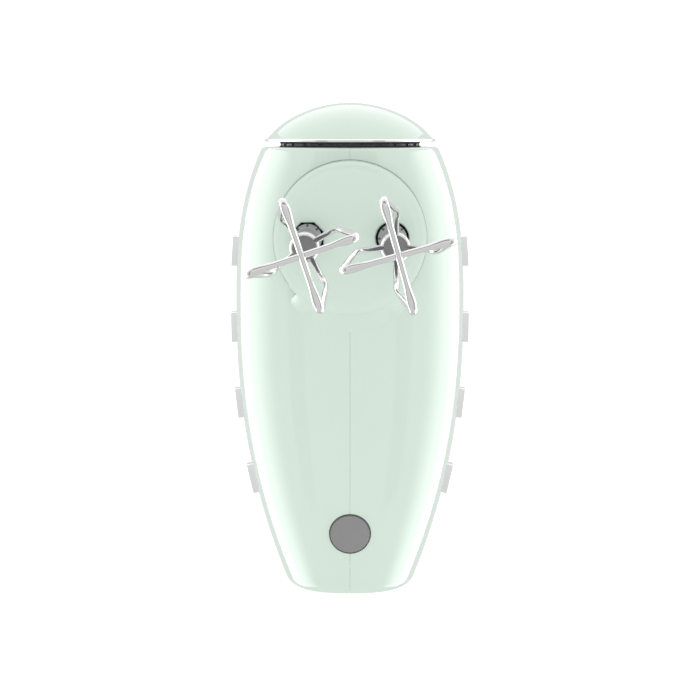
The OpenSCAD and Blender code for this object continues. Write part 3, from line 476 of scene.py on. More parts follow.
def applied(obj, kind, **settings):
    """Adds one modifier and applies it."""
    modifier = obj.modifiers.new(kind.lower(), kind)
    for key, value in settings.items():
        setattr(modifier, key, value)
    made = bpy.data.meshes.new_from_object(obj.evaluated_get(bpy.context.evaluated_depsgraph_get()))
    old, obj.data = obj.data, made
    obj.modifiers.clear()
    bpy.data.meshes.remove(old)
    made.name = obj.name
    return obj


def cut(obj, *tools, operation="DIFFERENCE"):
    """Cuts (or joins) closed meshes, and removes the tools."""
    for tool in tools:
        applied(obj, "BOOLEAN", object=tool, operation=operation, solver="MANIFOLD")
        if not obj.data.polygons:
            raise RuntimeError(f"nothing is left of {obj.name} after {tool.name}")
        mesh = tool.data
        bpy.data.objects.remove(tool)
        bpy.data.meshes.remove(mesh)
    return obj


def shade(obj, angle=35.0):
    obj.data.shade_smooth()
    obj.data.set_sharp_from_angle(angle=math.radians(angle))
    return obj


def hand_over(obj, body, slot, *nodes, extra=()):
    """Gives a piece the finish named by its slot, and its body, and hides the CAD nodes it stands for."""
    obj.data.materials.clear()
    for name in (slot, *extra):
        obj.data.materials.append(all_finishes()[name])
    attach(obj, body)
    if nodes:
        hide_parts(*nodes)
    return obj


def lathe(name, profile, at, axis="Y", segments=96):
    """A closed turned solid. profile is a list of (radius, distance along the axis), and at its origin.
    Points at radius 0 close the ends; a profile without them is a ring closed on itself."""
    cos = np.cos(np.linspace(0, 2 * math.pi, segments, endpoint=False))
    sin = np.sin(np.linspace(0, 2 * math.pi, segments, endpoint=False))
    points, rings = [], []
    for r, h in profile:
        if r <= 1e-9:
            rings.append([len(points)] * segments)
            ring = np.array([[0.0, 0.0, h]])
        else:
            rings.append(list(range(len(points), len(points) + segments)))
            ring = np.stack([r * cos, r * sin, np.full(segments, h)], 1)
        points.extend(ring)
    closed = profile[0][0] > 1e-9
    faces = []
    count = len(rings)
    for i in range(count if closed else count - 1):
        a, b = rings[i], rings[(i + 1) % count]
        for k in range(segments):
            j = (k + 1) % segments
            face = []
            for v in (a[k], b[k], b[j], a[j]):
                if v not in face:
                    face.append(v)
            if len(face) > 2:
                faces.append(face)
    p = np.array(points)
    if axis == "Y":
        p = np.stack([p[:, 0], p[:, 2], -p[:, 1]], 1)
    obj = new_object(name, p + np.array(at), faces)
    return outward(obj)


def outward(obj):
    """Turns all faces outwards."""
    bm = bmesh.new()
    bm.from_mesh(obj.data)
    bmesh.ops.recalc_face_normals(bm, faces=bm.faces)
    if bm.calc_volume(signed=True) < 0:
        bmesh.ops.reverse_faces(bm, faces=bm.faces)
    bm.to_mesh(obj.data)
    bm.free()
    return obj


def rounded(profile, radius, steps=4):
    """A profile with each corner that isn't on the axis rounded."""
    made = []
    count = len(profile)
    closed = profile[0][0] > 1e-9
    for i, p in enumerate(profile):
        if not closed and i in (0, count - 1):
            made.append(p)
            continue
        p = np.array(p, float)
        a, b = np.array(profile[i - 1], float), np.array(profile[(i + 1) % count], float)
        la, lb = np.linalg.norm(a - p), np.linalg.norm(b - p)
        r = min(radius, 0.45 * la, 0.45 * lb)
        p0, p1 = p + (a - p) / la * r, p + (b - p) / lb * r
        for t in np.linspace(0, 1, steps + 1):
            made.append(tuple((1 - t) ** 2 * p0 + 2 * t * (1 - t) * p + t * t * p1))
    return made


def prism(name, outline, low, high, axis="Y"):
    """A straight solid from a closed outline of (x, z) or (x, y) points."""
    n = len(outline)
    flat = np.array(outline, float)
    points = []
    for h in (low, high):
        if axis == "Y":
            points.append(np.stack([flat[:, 0], np.full(n, h), flat[:, 1]], 1))
        else:
            points.append(np.stack([flat[:, 0], flat[:, 1], np.full(n, h)], 1))
    faces = [list(range(n)), [n + k for k in range(n)][::-1]]
    faces += [[k, n + k, n + (k + 1) % n, (k + 1) % n] for k in range(n)]
    return outward(new_object(name, np.concatenate(points), faces))


def rectangle(x0, z0, x1, z1, r=0.0, steps=6):
    """Outline of a rectangle with rounded corners."""
    if r <= 0:
        return [(x0, z0), (x1, z0), (x1, z1), (x0, z1)]
    made = []
    centres = ((x1 - r, z0 + r, -90), (x1 - r, z1 - r, 0), (x0 + r, z1 - r, 90), (x0 + r, z0 + r, 180))
    for cx, cz, start in centres:
        for i in range(steps + 1):
            a = math.radians(start + 90 * i / steps)
            made.append((cx + r * math.cos(a), cz + r * math.sin(a)))
    return made


def circle(cx, cz, r, steps=64, turn=0.0):
    angles = [2 * math.pi * (i + turn) / steps for i in range(steps)]
    return [(cx + r * math.cos(a), cz + r * math.sin(a)) for a in angles]


def bevel(obj, width, segments=3, angle=30.0):
    return applied(
        obj,
        "BEVEL",
        width=width * MM,
        segments=segments,
        limit_method="ANGLE",
        angle_limit=math.radians(angle),
        harden_normals=False,
    )


def bore(name, r, low, high, at, axis="Y", segments=96):
    """A plain round tool from low to high along its axis."""
    return lathe(name, [(0, low), (r, low), (r, high), (0, high)], at, axis, segments)


def widened(lo, hi, by, r):
    """Outline of a box seen along Y, larger all round by a margin."""
    return rectangle(lo[0] - by, lo[2] - by, hi[0] + by, hi[2] + by, r)


# ---------- form of the body ----------


def along(z, heel, middle, front):
    up = np.clip((z - WIDEST) / (FRONT_Z - WIDEST), 0, None)
    down = np.clip((WIDEST - z) / WIDEST, 0, None)
    return middle - (middle - front) * up**2.8 - (middle - heel) * down**2.2


def half_w(z):
    return along(z, HEEL_HALF, BODY_HALF, FRONT_HALF)


def belly(z):
    return along(z, HEEL_BELLY, BELLY, FRONT_HALF - 1)


def back(z):
    return along(z, BACK - 5, BACK, FRONT_HALF - 1)


def oval(a, b):
    """1 on an oval with half-axes 1, less inside."""
    return (np.abs(a) ** OVAL_POWER + np.abs(b) ** OVAL_POWER) ** (1 / OVAL_POWER)


def rounded_max(a, b, r):
    """Where both a and b are inside, with the corner between them rounded."""
    u, v = np.maximum(a + r, 0), np.maximum(b + r, 0)
    return np.minimum(np.maximum(a, b), -r) + np.sqrt(u * u + v * v)


def soft_min(a, b, k):
    """a or b, with a soft fillet where they meet."""
    h = np.maximum(k - np.abs(a - b), 0) / k
    return np.minimum(a, b) - h * h * k / 4


class Form:
    """Distance to the outside of body and handle, on a grid over the right half."""

    step = 0.6

    def __init__(self):
        h = self.step
        self.low = np.array([-3.0, -46.2, HEEL_Z - 2.4])
        high = np.array([BODY_HALF + 2, GRIP_TOP + 1.8, FRONT_Z + 1.8])
        self.count = np.ceil((high - self.low) / h).astype(int) + 1
        x, y, z = (
            (self.low[i] + h * np.arange(self.count[i])).astype(np.float32) for i in range(3)
        )
        x, y, z = x[:, None, None], y[None, :, None], z[None, None, :]
        zc = np.clip(z, HEEL_Z, FRONT_Z)
        w, lo, hi = half_w(zc), -belly(zc), back(zc)
        level = oval(x / w, (y - (lo + hi) / 2) / ((hi - lo) / 2)) - 1
        side = self.distance(level)
        edge = sizes().front_edge / MM
        body = rounded_max(side, HEEL_Z - z + 0 * side, HEEL_CORNER)
        body = rounded_max(body, z - FRONT_Z + 0 * side, edge)
        handle = self.handle(x, y, z)
        field = soft_min(body, handle, sizes().handle_blend / MM)
        field = np.maximum(field, np.maximum(HEEL_Z - z, z - FRONT_Z))
        self.field = np.clip(field, -4, 4).astype(np.float32)
        self.slopes = np.gradient(field.astype(np.float32), h)

    def distance(self, level):
        slopes = np.gradient(level.astype(np.float32), self.step)
        return level / np.maximum(np.sqrt(sum(s * s for s in slopes)), 1e-4)

    def handle(self, x, y, z):
        middle = (REAR_PILLAR_Z + FRONT_PILLAR_Z) / 2
        reach = (FRONT_PILLAR_Z - REAR_PILLAR_Z) / 2
        far = 400.0
        qy = np.abs(y - (GRIP_Y - far)) - far + GRIP_BEND
        qz = np.abs(z - middle) - reach + GRIP_BEND
        line = np.sqrt(np.maximum(qy, 0) ** 2 + np.maximum(qz, 0) ** 2)
        line = line + np.minimum(np.maximum(qy, qz), 0) - GRIP_BEND
        flare = PILLAR_FLARE * np.clip((BEND_Y - y) / (BEND_Y - BACK), 0, 1) ** 2
        level = oval(x / (GRIP_HALF_W + flare), line / GRIP_HALF_T) - 1
        return np.maximum(self.distance(level), BACK - 18 - y + 0 * level)

    def surface(self, offset, thin=1):
        """Closed mesh of the form at an offset, as points in millimetres and faces."""
        grid = openvdb.FloatGrid(4.0)
        grid.copyFromArray(np.ascontiguousarray(self.field[::thin, ::thin, ::thin]))
        points, triangles, quads = grid.convertToPolygons(isovalue=offset, adaptivity=0.0)
        faces = [list(f) for f in quads] + [list(f) for f in triangles]
        return points * self.step * thin + self.low, faces

    def normals(self, points):
        """Direction out of the form at points in millimetres."""
        p = (points - self.low) / self.step
        i = np.clip(np.floor(p).astype(int), 0, self.count - 2)
        f = np.clip(p - i, 0, 1)
        made = np.zeros_like(points)
        for dx in (0, 1):
            for dy in (0, 1):
                for dz in (0, 1):
                    share = (
                        (f[:, 0] if dx else 1 - f[:, 0])
                        * (f[:, 1] if dy else 1 - f[:, 1])
                        * (f[:, 2] if dz else 1 - f[:, 2])
                    )
                    for axis in range(3):
                        made[:, axis] += share * self.slopes[axis][i[:, 0] + dx, i[:, 1] + dy, i[:, 2] + dz]
        return made / np.maximum(np.linalg.norm(made, axis=1, keepdims=True), 1e-9)


def read(items, name, width=1, kind=float):
    """One property of all vertices, faces or corners, as an array."""
    made = np.zeros(len(items) * width, kind)
    items.foreach_get(name, made)
    return made.reshape(-1, width) if width > 1 else made


def true_normals(obj, form, side):
    """Gives each face corner on the smooth form that form's own direction, and leaves cut faces flat."""
    mesh = obj.data
    mesh.shade_smooth()
    points = read(mesh.vertices, "co", 3) / MM
    mirror = np.array([side, 1, 1])
    smooth = form.normals(points * mirror) * mirror
    face_normals = read(mesh.polygons, "normal", 3)
    totals = read(mesh.polygons, "loop_total", kind=int)
    face_of = np.repeat(np.arange(len(totals)), totals)
    corners = read(mesh.loops, "vertex_index", kind=int)
    wanted, flat = smooth[corners], face_normals[face_of]
    agree = (wanted * flat).sum(1)
    made = np.where((agree > 0.8)[:, None], wanted, np.where((agree < -0.8)[:, None], -wanted, flat))
    mesh.normals_split_custom_set(made)


# ---------- pieces ----------


def pad_place():
    """Where the round rest pad sits on the belly."""
    z = 26.0
    slope = math.atan((belly(z + 3) - belly(z - 3)) / 6)
    return (
        Matrix.Translation(Vector((0, -float(belly(z)), z)) * MM)
        @ Matrix.Rotation(slope, 4, "X")
        @ Matrix.Rotation(math.pi / 2, 4, "X")
    )


class MIXER_OT_shells(bpy.types.Operator):
    """Build the two shells: one soft form for body and handle, hollowed, then cut open for what fits in it"""

    bl_idname = "mixer.build_shells"
    bl_label = "Shells"

    def execute(self, context):
        form = Form()
        panel_lo, panel_hi = box_mm("control_panel")
        button_lo, button_hi = box_mm("eject_button")
        button_r = (button_hi[0] - button_lo[0]) / 2
        gland_lo, gland_hi = box_mm("cord_gland")
        gland_z = (gland_lo[2] + gland_hi[2]) / 2
        outer = form.surface(0.0)
        inner = form.surface(-WALL, 2)
        gap = sizes().seam_gap / MM / 2
        for name, side in SIDES:
            flip = np.array([side, 1, 1])
            shell = outward(new_object(f"{name}_shell_skin", outer[0] * flip, outer[1]))
            hollow = outward(new_object("hollow", inner[0] * flip, inner[1]))
            away = prism("away", rectangle(-60, -60, gap, 160), HEEL_Z - 5, FRONT_Z + 5, "Z")
            away.data.transform(Matrix.Diagonal((side, 1, 1, 1)))
            tools = [hollow, outward(away)]
            tools.append(bore("seat", PLATE_R + SEAT_GAP, -90, 0, (0, 0, SPINDLE_Z), segments=192))
            tools.append(bore("mouth", MOUTH_R, 0, 12, (0, 0, FRONT_Z - 2 * WALL), "Z", 128))
            well = widened(panel_lo, panel_hi, WELL_GAP, 1.2)
            tools.append(prism("panel_well", well, panel_lo[1], GRIP_TOP + 4))
            tools.append(bore("button_well", button_r + WELL_GAP, BEND_Y, OUTSIDE, (0, 0, SPINDLE_Z)))
            tools.append(bore("cord_well", GLAND_R, GRIP_Y, OUTSIDE, (0, 0, gland_z)))
            tools.append(bore("pad_pocket", PAD_R + 0.2, -1.7, 9, (0, 0, 0), "Z", 128))
            tools[-1].data.transform(pad_place())
            if side > 0:
                for y, z, x in SCREW_WELLS:
                    well = bore("screw_well", 3, 0, 60, (0, 0, 0), "Z", 40)
                    well.data.transform(
                        Matrix.Translation(Vector((x, y, z)) * MM) @ Matrix.Rotation(math.pi / 2, 4, "Y")
                    )
                    tools.append(well)
            cut(shell, *tools)
            true_normals(shell, form, side)
            hand_over(shell, "housing", "mint_plastic", f"{name}_shell")
        return {"FINISHED"}


def belly_at(x, z):
    """Depth of the belly's surface at x and z."""
    w, lo, hi = half_w(z), -belly(z), back(z)
    share = np.clip(1 - (np.abs(x) / w) ** OVAL_POWER, 0, 1) ** (1 / OVAL_POWER)
    return (lo + hi) / 2 - (hi - lo) / 2 * share


class MIXER_OT_spindle_plate(bpy.types.Operator):
    """Build the round raised plate that the two spindles come through"""

    bl_idname = "mixer.build_spindle_plate"
    bl_label = "Spindle plate"

    def execute(self, context):
        segments = 256
        rim = sizes().plate_edge / MM
        crown, rim_y = PLATE_CROWN, -PLATE_FACE
        lean = math.radians(RIM_LEAN)
        bend = rim / math.sin(lean)
        radii = list(np.linspace(1.5, PLATE_R - rim, 20)) + [
            PLATE_R - rim + bend * math.sin(a) for a in np.linspace(0.04, lean, 14)
        ]
        fine = [(PLATE_R - 0.45, 0.0), (PLATE_R - 0.4, 0.3), (PLATE_R - 0.2, 0.3), (PLATE_R - 0.15, 0.0)]
        radii = [(r, 0.0) for r in radii[:-1]] + fine + [(PLATE_R, 0.0)]
        skirt_steps = 16
        points, faces = [[0, -PLATE_FACE, SPINDLE_Z]], []
        rings = []
        angles = np.linspace(0, 2 * math.pi, segments, endpoint=False)
        # 1 where the plate's lower edge flows into the belly, 0 where it ends in the seam
        below = np.degrees(np.arcsin(np.clip(-np.sin(angles), -1, 1)))
        line_end = np.clip((below - LINE_ENDS) / 2.0, 0, 1)
        low = np.clip((below - FLOW_STARTS) / 4.0, 0, 1)
        low = low * low * (3 - 2 * low)
        grown = np.clip((below - FLOW_STARTS) / 25.0, 0, 1)
        reach = FLOW_REACH + 3.0 * grown * grown * (3 - 2 * grown)
        for r, deep in radii:
            over = max(0.0, r - (PLATE_R - rim))
            y = rim_y + crown * (r / PLATE_R) ** 2 + bend - math.sqrt(bend * bend - over * over)
            ring = []
            for a, ended in zip(angles, line_end):
                ring.append(len(points))
                points.append([r * math.cos(a), y + deep * (1 - ended), SPINDLE_Z + r * math.sin(a)])
            rings.append(ring)
        edge_y = points[rings[-1][0]][1]
        # the skirt: down into the seat above, out along a hollow curve onto the belly below
        for t in [0.012] + [i / skirt_steps for i in range(1, skirt_steps + 1)]:
            ring = []
            for a, share, wide in zip(angles, low, reach):
                straight = np.array([PLATE_R, edge_y + 4.0 * t])
                r_out = PLATE_R + wide * t
                x, z = r_out * math.cos(a), SPINDLE_Z + r_out * math.sin(a)
                ground = float(belly_at(x, z)) - 0.03 + 0.4 * max(0.0, t - 0.93) / 0.07
                drop = ground - edge_y
                start = min(math.tan(lean) * wide, 1.8 * max(drop, 0.0))
                sunk = SEAT_DEPTH * (1 - share) * min(1.0, 90 * t)
                eased = drop * (3 * t**2 - 2 * t**3)
                flow = np.array([r_out, edge_y + eased + start * (t**3 - 2 * t**2 + t) + sunk])
                r, y = flow if share > 0 else straight
                ring.append(len(points))
                points.append([r * math.cos(a), y, SPINDLE_Z + r * math.sin(a)])
            rings.append(ring)
        # the hidden part: in to the wall, back to the gearbox, and a floor behind the face
        inside = PLATE_R - 2.6
        hidden = ((PLATE_R, -36.0), (PLATE_R, PLATE_BACK), (inside, PLATE_BACK), (inside, -43.0), (12.0, -43.5))
        for r, y in hidden:
            ring = []
            for a in angles:
                ring.append(len(points))
                points.append([r * math.cos(a), y, SPINDLE_Z + r * math.sin(a)])
            rings.append(ring)
        points.append([0, -43.5, SPINDLE_Z])
        for a, b in zip(rings, rings[1:]):
            for k in range(segments):
                j = (k + 1) % segments
                faces.append([a[k], a[j], b[j], b[k]])
        for k in range(segments):
            j = (k + 1) % segments
            faces.append([0, rings[0][j], rings[0][k]])
            faces.append([len(points) - 1, rings[-1][k], rings[-1][j]])
        plate = outward(new_object("spindle_plate_face", points, faces))
        seal_y = -PLATE_FACE + 3.0
        for side in (-1, 1):
            half = 6.0 if side < 0 else 6.4
            at = (side * SPINDLE_X, 0, SPINDLE_Z)
            cut(plate, bore("guard", half + 2.0, -44, -PLATE_FACE + 12, at), operation="UNION")
        for side in (-1, 1):
            at = (side * SPINDLE_X, 0, SPINDLE_Z)
            n, turn, r = (8, 0.5, 6.0 / math.cos(math.pi / 8)) if side < 0 else (96, 0.0, 6.4)
            rings_cut = [(r + 0.9, rim_y - 1.0), (r + 0.9, rim_y - 0.2), (r + 0.25, rim_y + 0.28)]
            rings_cut += [(r, rim_y + 0.8), (r, seal_y)]
            pts, fcs = [], []
            for rr, y in rings_cut:
                pts += [(at[0] + u, y, at[2] + v) for u, v in circle(0, 0, rr, n, turn)]
            for i in range(len(rings_cut) - 1):
                for k in range(n):
                    j = (k + 1) % n
                    fcs.append([i * n + k, i * n + j, (i + 1) * n + j, (i + 1) * n + k])
            fcs += [list(range(n)), [(len(rings_cut) - 1) * n + k for k in range(n)]]
            cut(plate, outward(new_object("socket", pts, fcs)))
            cut(plate, bore("seal_bore", 7, seal_y - 0.2, 0, at))
        shade(plate, 32)
        hand_over(plate, "housing", "mint_plastic", "spindle_plate")
        return {"FINISHED"}


class MIXER_OT_nose(bpy.types.Operator):
    """Build the domed nose, its polished ring and the dark vented neck"""

    bl_idname = "mixer.build_nose"
    bl_label = "Nose"

    def execute(self, context):
        cap_lo, cap_hi = box_mm("nose_cap")
        r, h = cap_hi[0], cap_hi[2] - cap_lo[2]
        ball = (r * r + h * h) / (2 * h)
        tip = math.asin(r / ball)
        outline = [(0.0, h)]
        for t in np.linspace(0.02, tip, 44):
            up = (h - ball + ball * math.cos(t)) / h
            outline.append((ball * math.sin(t) + 0.7 * math.sin(math.pi * up), up * h))
        outline += [(r - 0.15, -0.0), (r - 2.6, 0.0)]
        inner = math.asin((r - 2.6) / (ball - WALL)) * 0.98
        small = ball - WALL
        for t in np.linspace(inner, 0.02, 24):
            outline.append((small * math.sin(t), max(0.1, h - ball + small * math.cos(t))))
        outline.append((0.0, h - WALL))
        dome = shade(lathe("nose_dome", outline, (0, 0, cap_lo[2]), "Z", 160), 40)
        hand_over(dome, "housing", "mint_plastic", "nose_cap")
        ring_lo, ring_hi = box_mm("nose_ring")
        rr, rt = ring_hi[0], ring_hi[2] - ring_lo[2]
        profile = [
            (rr - 9.6, 0), (rr - 1.2, 0), (rr - 0.35, rt * 0.08), (rr, rt * 0.3),
            (rr - 0.05, rt * 0.75), (rr - 0.5, rt), (rr - 9.6, rt),
        ]
        ring = shade(lathe("nose_trim_ring", rounded(profile, 0.18), (0, 0, ring_lo[2]), "Z", 192), 50)
        hand_over(ring, "housing", "chrome", "nose_ring")
        neck_lo, neck_hi = box_mm("nose_neck")
        top = neck_hi[2]
        face_r = 29.15
        hollow = [
            (face_r - 1.15 * math.sin(t), FRONT_Z + (top - FRONT_Z) * (0.5 - 0.5 * math.cos(t)))
            for t in np.linspace(0, math.pi, 9)
        ]
        under = FRONT_Z - WALL - 0.02
        profile = [
            (24.5, neck_lo[2]), (neck_hi[0], neck_lo[2]), (neck_hi[0], under), (face_r, under),
        ] + hollow + [(face_r - 2.5, top), (face_r - 2.5, FRONT_Z - WALL - 0.5), (24.5, FRONT_Z - WALL - 0.5)]
        neck = lathe("nose_neck_vents", profile, (0, 0, 0), "Z", 192)
        for i in range(24):
            a = 2 * math.pi * (i + 0.5) / 24
            outline = rectangle(face_r - 1.9, -1.5, face_r + 3, 1.5, 0.3, 3)
            slot = prism("vent", outline, FRONT_Z + 0.45, top - 0.45, "Z")
            slot.data.transform(Matrix.Rotation(a, 4, "Z"))
            cut(neck, slot)
        shade(neck, 40)
        hand_over(neck, "housing", "dark_plastic", "nose_neck")
        return {"FINISHED"}


class MIXER_OT_trim(bpy.types.Operator):
    """Build the side bars and the round rest pad"""

    bl_idname = "mixer.build_trim"
    bl_label = "Side bars, pad and feet"

    def execute(self, context):
        bar_h, bar_w, bar_out = 12.0, 8.0, 2.4
        lowest = 43.9
        pitch = (SPINDLE_Z - 7.2 - lowest) / 3
        for name, side in SIDES:
            parts = []
            for i in range(4):
                z = lowest + pitch * i
                lean = math.atan((half_w(z + 2) - half_w(z - 2)) / 4)
                outline = rectangle(-bar_w / 2, -bar_h / 2, bar_w / 2, bar_h / 2, 0.5, 4)
                bar = prism("bar", outline, -WALL / 2, bar_out, "Z")
                bevel(bar, 0.28, 3, 40)
                bar.data.transform(
                    Matrix.Translation(Vector((side * float(half_w(z)), 0, z)) * MM)
                    @ Matrix.Rotation(side * lean, 4, "Y")
                    @ Matrix.Rotation(side * math.pi / 2, 4, "Y")
                    @ Matrix.Rotation(math.pi / 2, 4, "Z")
                )
                parts.append(bar)
            first = parts[0]
            with bpy.context.temp_override(active_object=first, selected_editable_objects=parts):
                bpy.ops.object.join()
            first.name = first.data.name = f"{name}_side_bars"
            shade(outward(first), 40)
            hand_over(first, "housing", "chrome", f"{name}_trim_bars")
        r = PAD_R
        top = 0.75
        profile = [(0, -1.7), (r, -1.7), (r, -1.2), (r - 0.45, -1.0), (r - 0.45, top - 0.5)]
        profile += [(r - 0.55, top - 0.18), (r - 0.85, top)]
        profile += [(r - 1.15, top - 0.05), (r * 0.5, top + 0.1), (0, top + 0.14)]
        pad = lathe("bowl_rest_disc", profile, (0, 0, 0), "Z", 128)
        pad.data.transform(pad_place())
        shade(pad, 30)
        hand_over(pad, "housing", "grey_rubber", "bowl_rest_pad")
        return {"FINISHED"}


def unit(v):
    return v / max(np.linalg.norm(v), 1e-12)


def wire_path(phase, twist, end_y, ferrule_y, elbow_y, elbow_r, corner_r):
    """One bent loop as points, with how strongly each was pressed in a corner and that corner's normal."""

    def polar(r, a, y):
        return np.array([r * math.cos(a), y, r * math.sin(a)])

    def half(a):
        return [
            polar(4.5, a + twist, ferrule_y + 3),
            polar(elbow_r, a + twist, elbow_y),
            polar(corner_r, a, end_y),
        ]

    stations = half(phase) + half(phase + math.pi)[::-1]
    points, press, plane = [stations[0]], [0.0], [np.array([0.0, 0.0, 1.0])]
    for i in range(1, 5):
        a, p, b = stations[i - 1], stations[i], stations[i + 1]
        n = unit(np.cross(a - p, b - p))
        cut_len = 4.0 if i in (2, 3) else 3.0
        before, apex, after = {2: (0.5, 0.35, 1.0), 3: (1.0, 0.35, 0.5)}.get(i, (0.8, 1.0, 0.8))
        p0, p1 = p + unit(a - p) * cut_len, p + unit(b - p) * cut_len
        far0, far1 = p + unit(a - p) * 11.0, p + unit(b - p) * 11.0
        for t in np.linspace(0, 1, 6, endpoint=False):
            points.append(far0 * (1 - t) + p0 * t)
            press.append(before * (0.5 - 0.5 * math.cos(math.pi * t)))
            plane.append(n)
        for t in np.linspace(0, 1, 11):
            points.append((1 - t) ** 2 * p0 + 2 * t * (1 - t) * p + t * t * p1)
            press.append((1 - t) ** 2 * before + 2 * t * (1 - t) * apex + t * t * after)
            plane.append(n)
        for t in np.linspace(1 / 6, 1, 6):
            points.append(p1 * (1 - t) + far1 * t)
            press.append(after * (0.5 + 0.5 * math.cos(math.pi * t)))
            plane.append(n)
    points.append(stations[5])
    press.append(0.0)
    plane.append(plane[-1])
    return np.array(points), np.array(press), np.array(plane)


def swept(name, points, press, plane, radius, sides=28):
    """A round bar swept along points, pressed flatter and broader in its corners."""
    spread = sizes().corner_spread
    n = len(points)
    tangents = np.array([unit(points[min(i + 1, n - 1)] - points[max(i - 1, 0)]) for i in range(n)])
    side = unit(np.cross(tangents[0], [0.3, 0.5, 1.0]))
    verts, faces = [], []
    for i in range(n):
        side = unit(side - tangents[i] * (side @ tangents[i]))
        up = np.cross(tangents[i], side)
        for k in range(sides):
            a = 2 * math.pi * k / sides
            v = side * math.cos(a) + up * math.sin(a)
            across = plane[i] * (v @ plane[i])
            v = across * (1 + spread * press[i]) + (v - across) * (1 - 0.45 * spread * press[i])
            verts.append(points[i] + radius * v)
    for i in range(n - 1):
        for k in range(sides):
            j = (k + 1) % sides
            faces.append([i * sides + k, i * sides + j, (i + 1) * sides + j, (i + 1) * sides + k])
    faces += [list(range(sides)), [(n - 1) * sides + k for k in range(sides)]]
    return outward(new_object(name, verts, faces))


class MIXER_OT_beaters(bpy.types.Operator):
    """Build both wire beaters: bent loops, ferrule and drip collar; the shaft stays the CAD part"""

    bl_idname = "mixer.build_beaters"
    bl_label = "Beaters"

    def execute(self, context):
        ferrule_lo, ferrule_hi = box_mm("left_beater_ferrule")
        collar_lo, collar_hi = box_mm("left_drip_collar")
        collar_r = (collar_hi[0] - collar_lo[0]) / 2
        layers = [box_mm(f"left_beater_wire_{layer}")[0][1] + WIRE_R for layer in "ab"]
        fr = (ferrule_hi[0] - ferrule_lo[0]) / 2
        y0, y1 = ferrule_lo[1], ferrule_hi[1]
        for name, side in SIDES:
            x = side * SPINDLE_X
            phase = math.radians(18.5 if side < 0 else 15.5)
            twist = math.radians(-side * 15)
            for layer, end_y in zip("ab", layers):
                start = phase + (math.pi / 2 if layer == "b" else 0)
                path, press, plane = wire_path(start, twist, end_y, y0, -PLATE_FACE - 102, 14.6, 20.5)
                path = path + np.array([x, 0, SPINDLE_Z])
                wire = swept(f"{name}_loop_{layer}", path, press, plane, WIRE_R)
                shade(wire, 60)
                hand_over(wire, f"{name}_beater", "polished_steel", f"{name}_beater_wire_{layer}")
            face = fr - 1.15
            profile = [
                (0, y0 + 0.35), (face, y0 + 0.35), (face + 0.1, y0 + 0.06), (face + 0.3, y0),
                (fr - 0.35, y0 + 0.3), (fr - 0.08, y0 + 0.75), (fr, y0 + 1.3), (fr, y1 - 1.0),
                (fr - 0.3, y1 - 0.3), (fr - 1.1, y1), (SHAFT_HOLE, y1), (SHAFT_HOLE, y0 + 2), (0, y0 + 2),
            ]
            ferrule = shade(lathe(f"{name}_ferrule", profile, (x, 0, SPINDLE_Z), "Y", 96), 30)
            node = f"{name}_beater_ferrule"
            # the end face towards the lens gets the darker copy of the ferrule steel: painted shade
            hand_over(ferrule, f"{name}_beater", "ferrule_steel", node, extra=("ferrule_end_painted_shade",))
            for face in ferrule.data.polygons:
                near = Vector((face.center.x / MM - x, face.center.z / MM - SPINDLE_Z)).length < fr - 1.05
                face.material_index = int(near and abs(face.center.y / MM - y0) < 0.5)
            c, c0, c1 = collar_r, collar_lo[1], collar_hi[1]
            profile = [
                (SHAFT_HOLE, c0), (c - 1.7, c0), (c - 1.2, c0 + 0.25), (c - 0.95, c0 + 0.7), (c - 0.9, c0 + 2.6),
                (c - 0.55, c0 + 2.95), (c - 0.2, c0 + 3.15), (c, c0 + 3.6),
                (c, c1 - 0.3), (c - 0.3, c1), (SHAFT_HOLE, c1),
            ]
            collar = lathe(f"{name}_collar", profile, (x, 0, SPINDLE_Z), "Y", 96)
            for i in range(8):
                notch = prism("notch", rectangle(c - 1.3, -0.4, c + 2, 0.4, 0.25, 3), c0 + 1.6, c0 + 6.4)
                notch.data.transform(
                    Matrix.Translation(Vector((x, 0, SPINDLE_Z)) * MM) @ Matrix.Rotation(2 * math.pi * i / 8, 4, "Y")
                )
                cut(collar, notch)
            shade(collar, 35)
            hand_over(collar, f"{name}_beater", "grey_plastic", f"{name}_drip_collar")
        return {"FINISHED"}


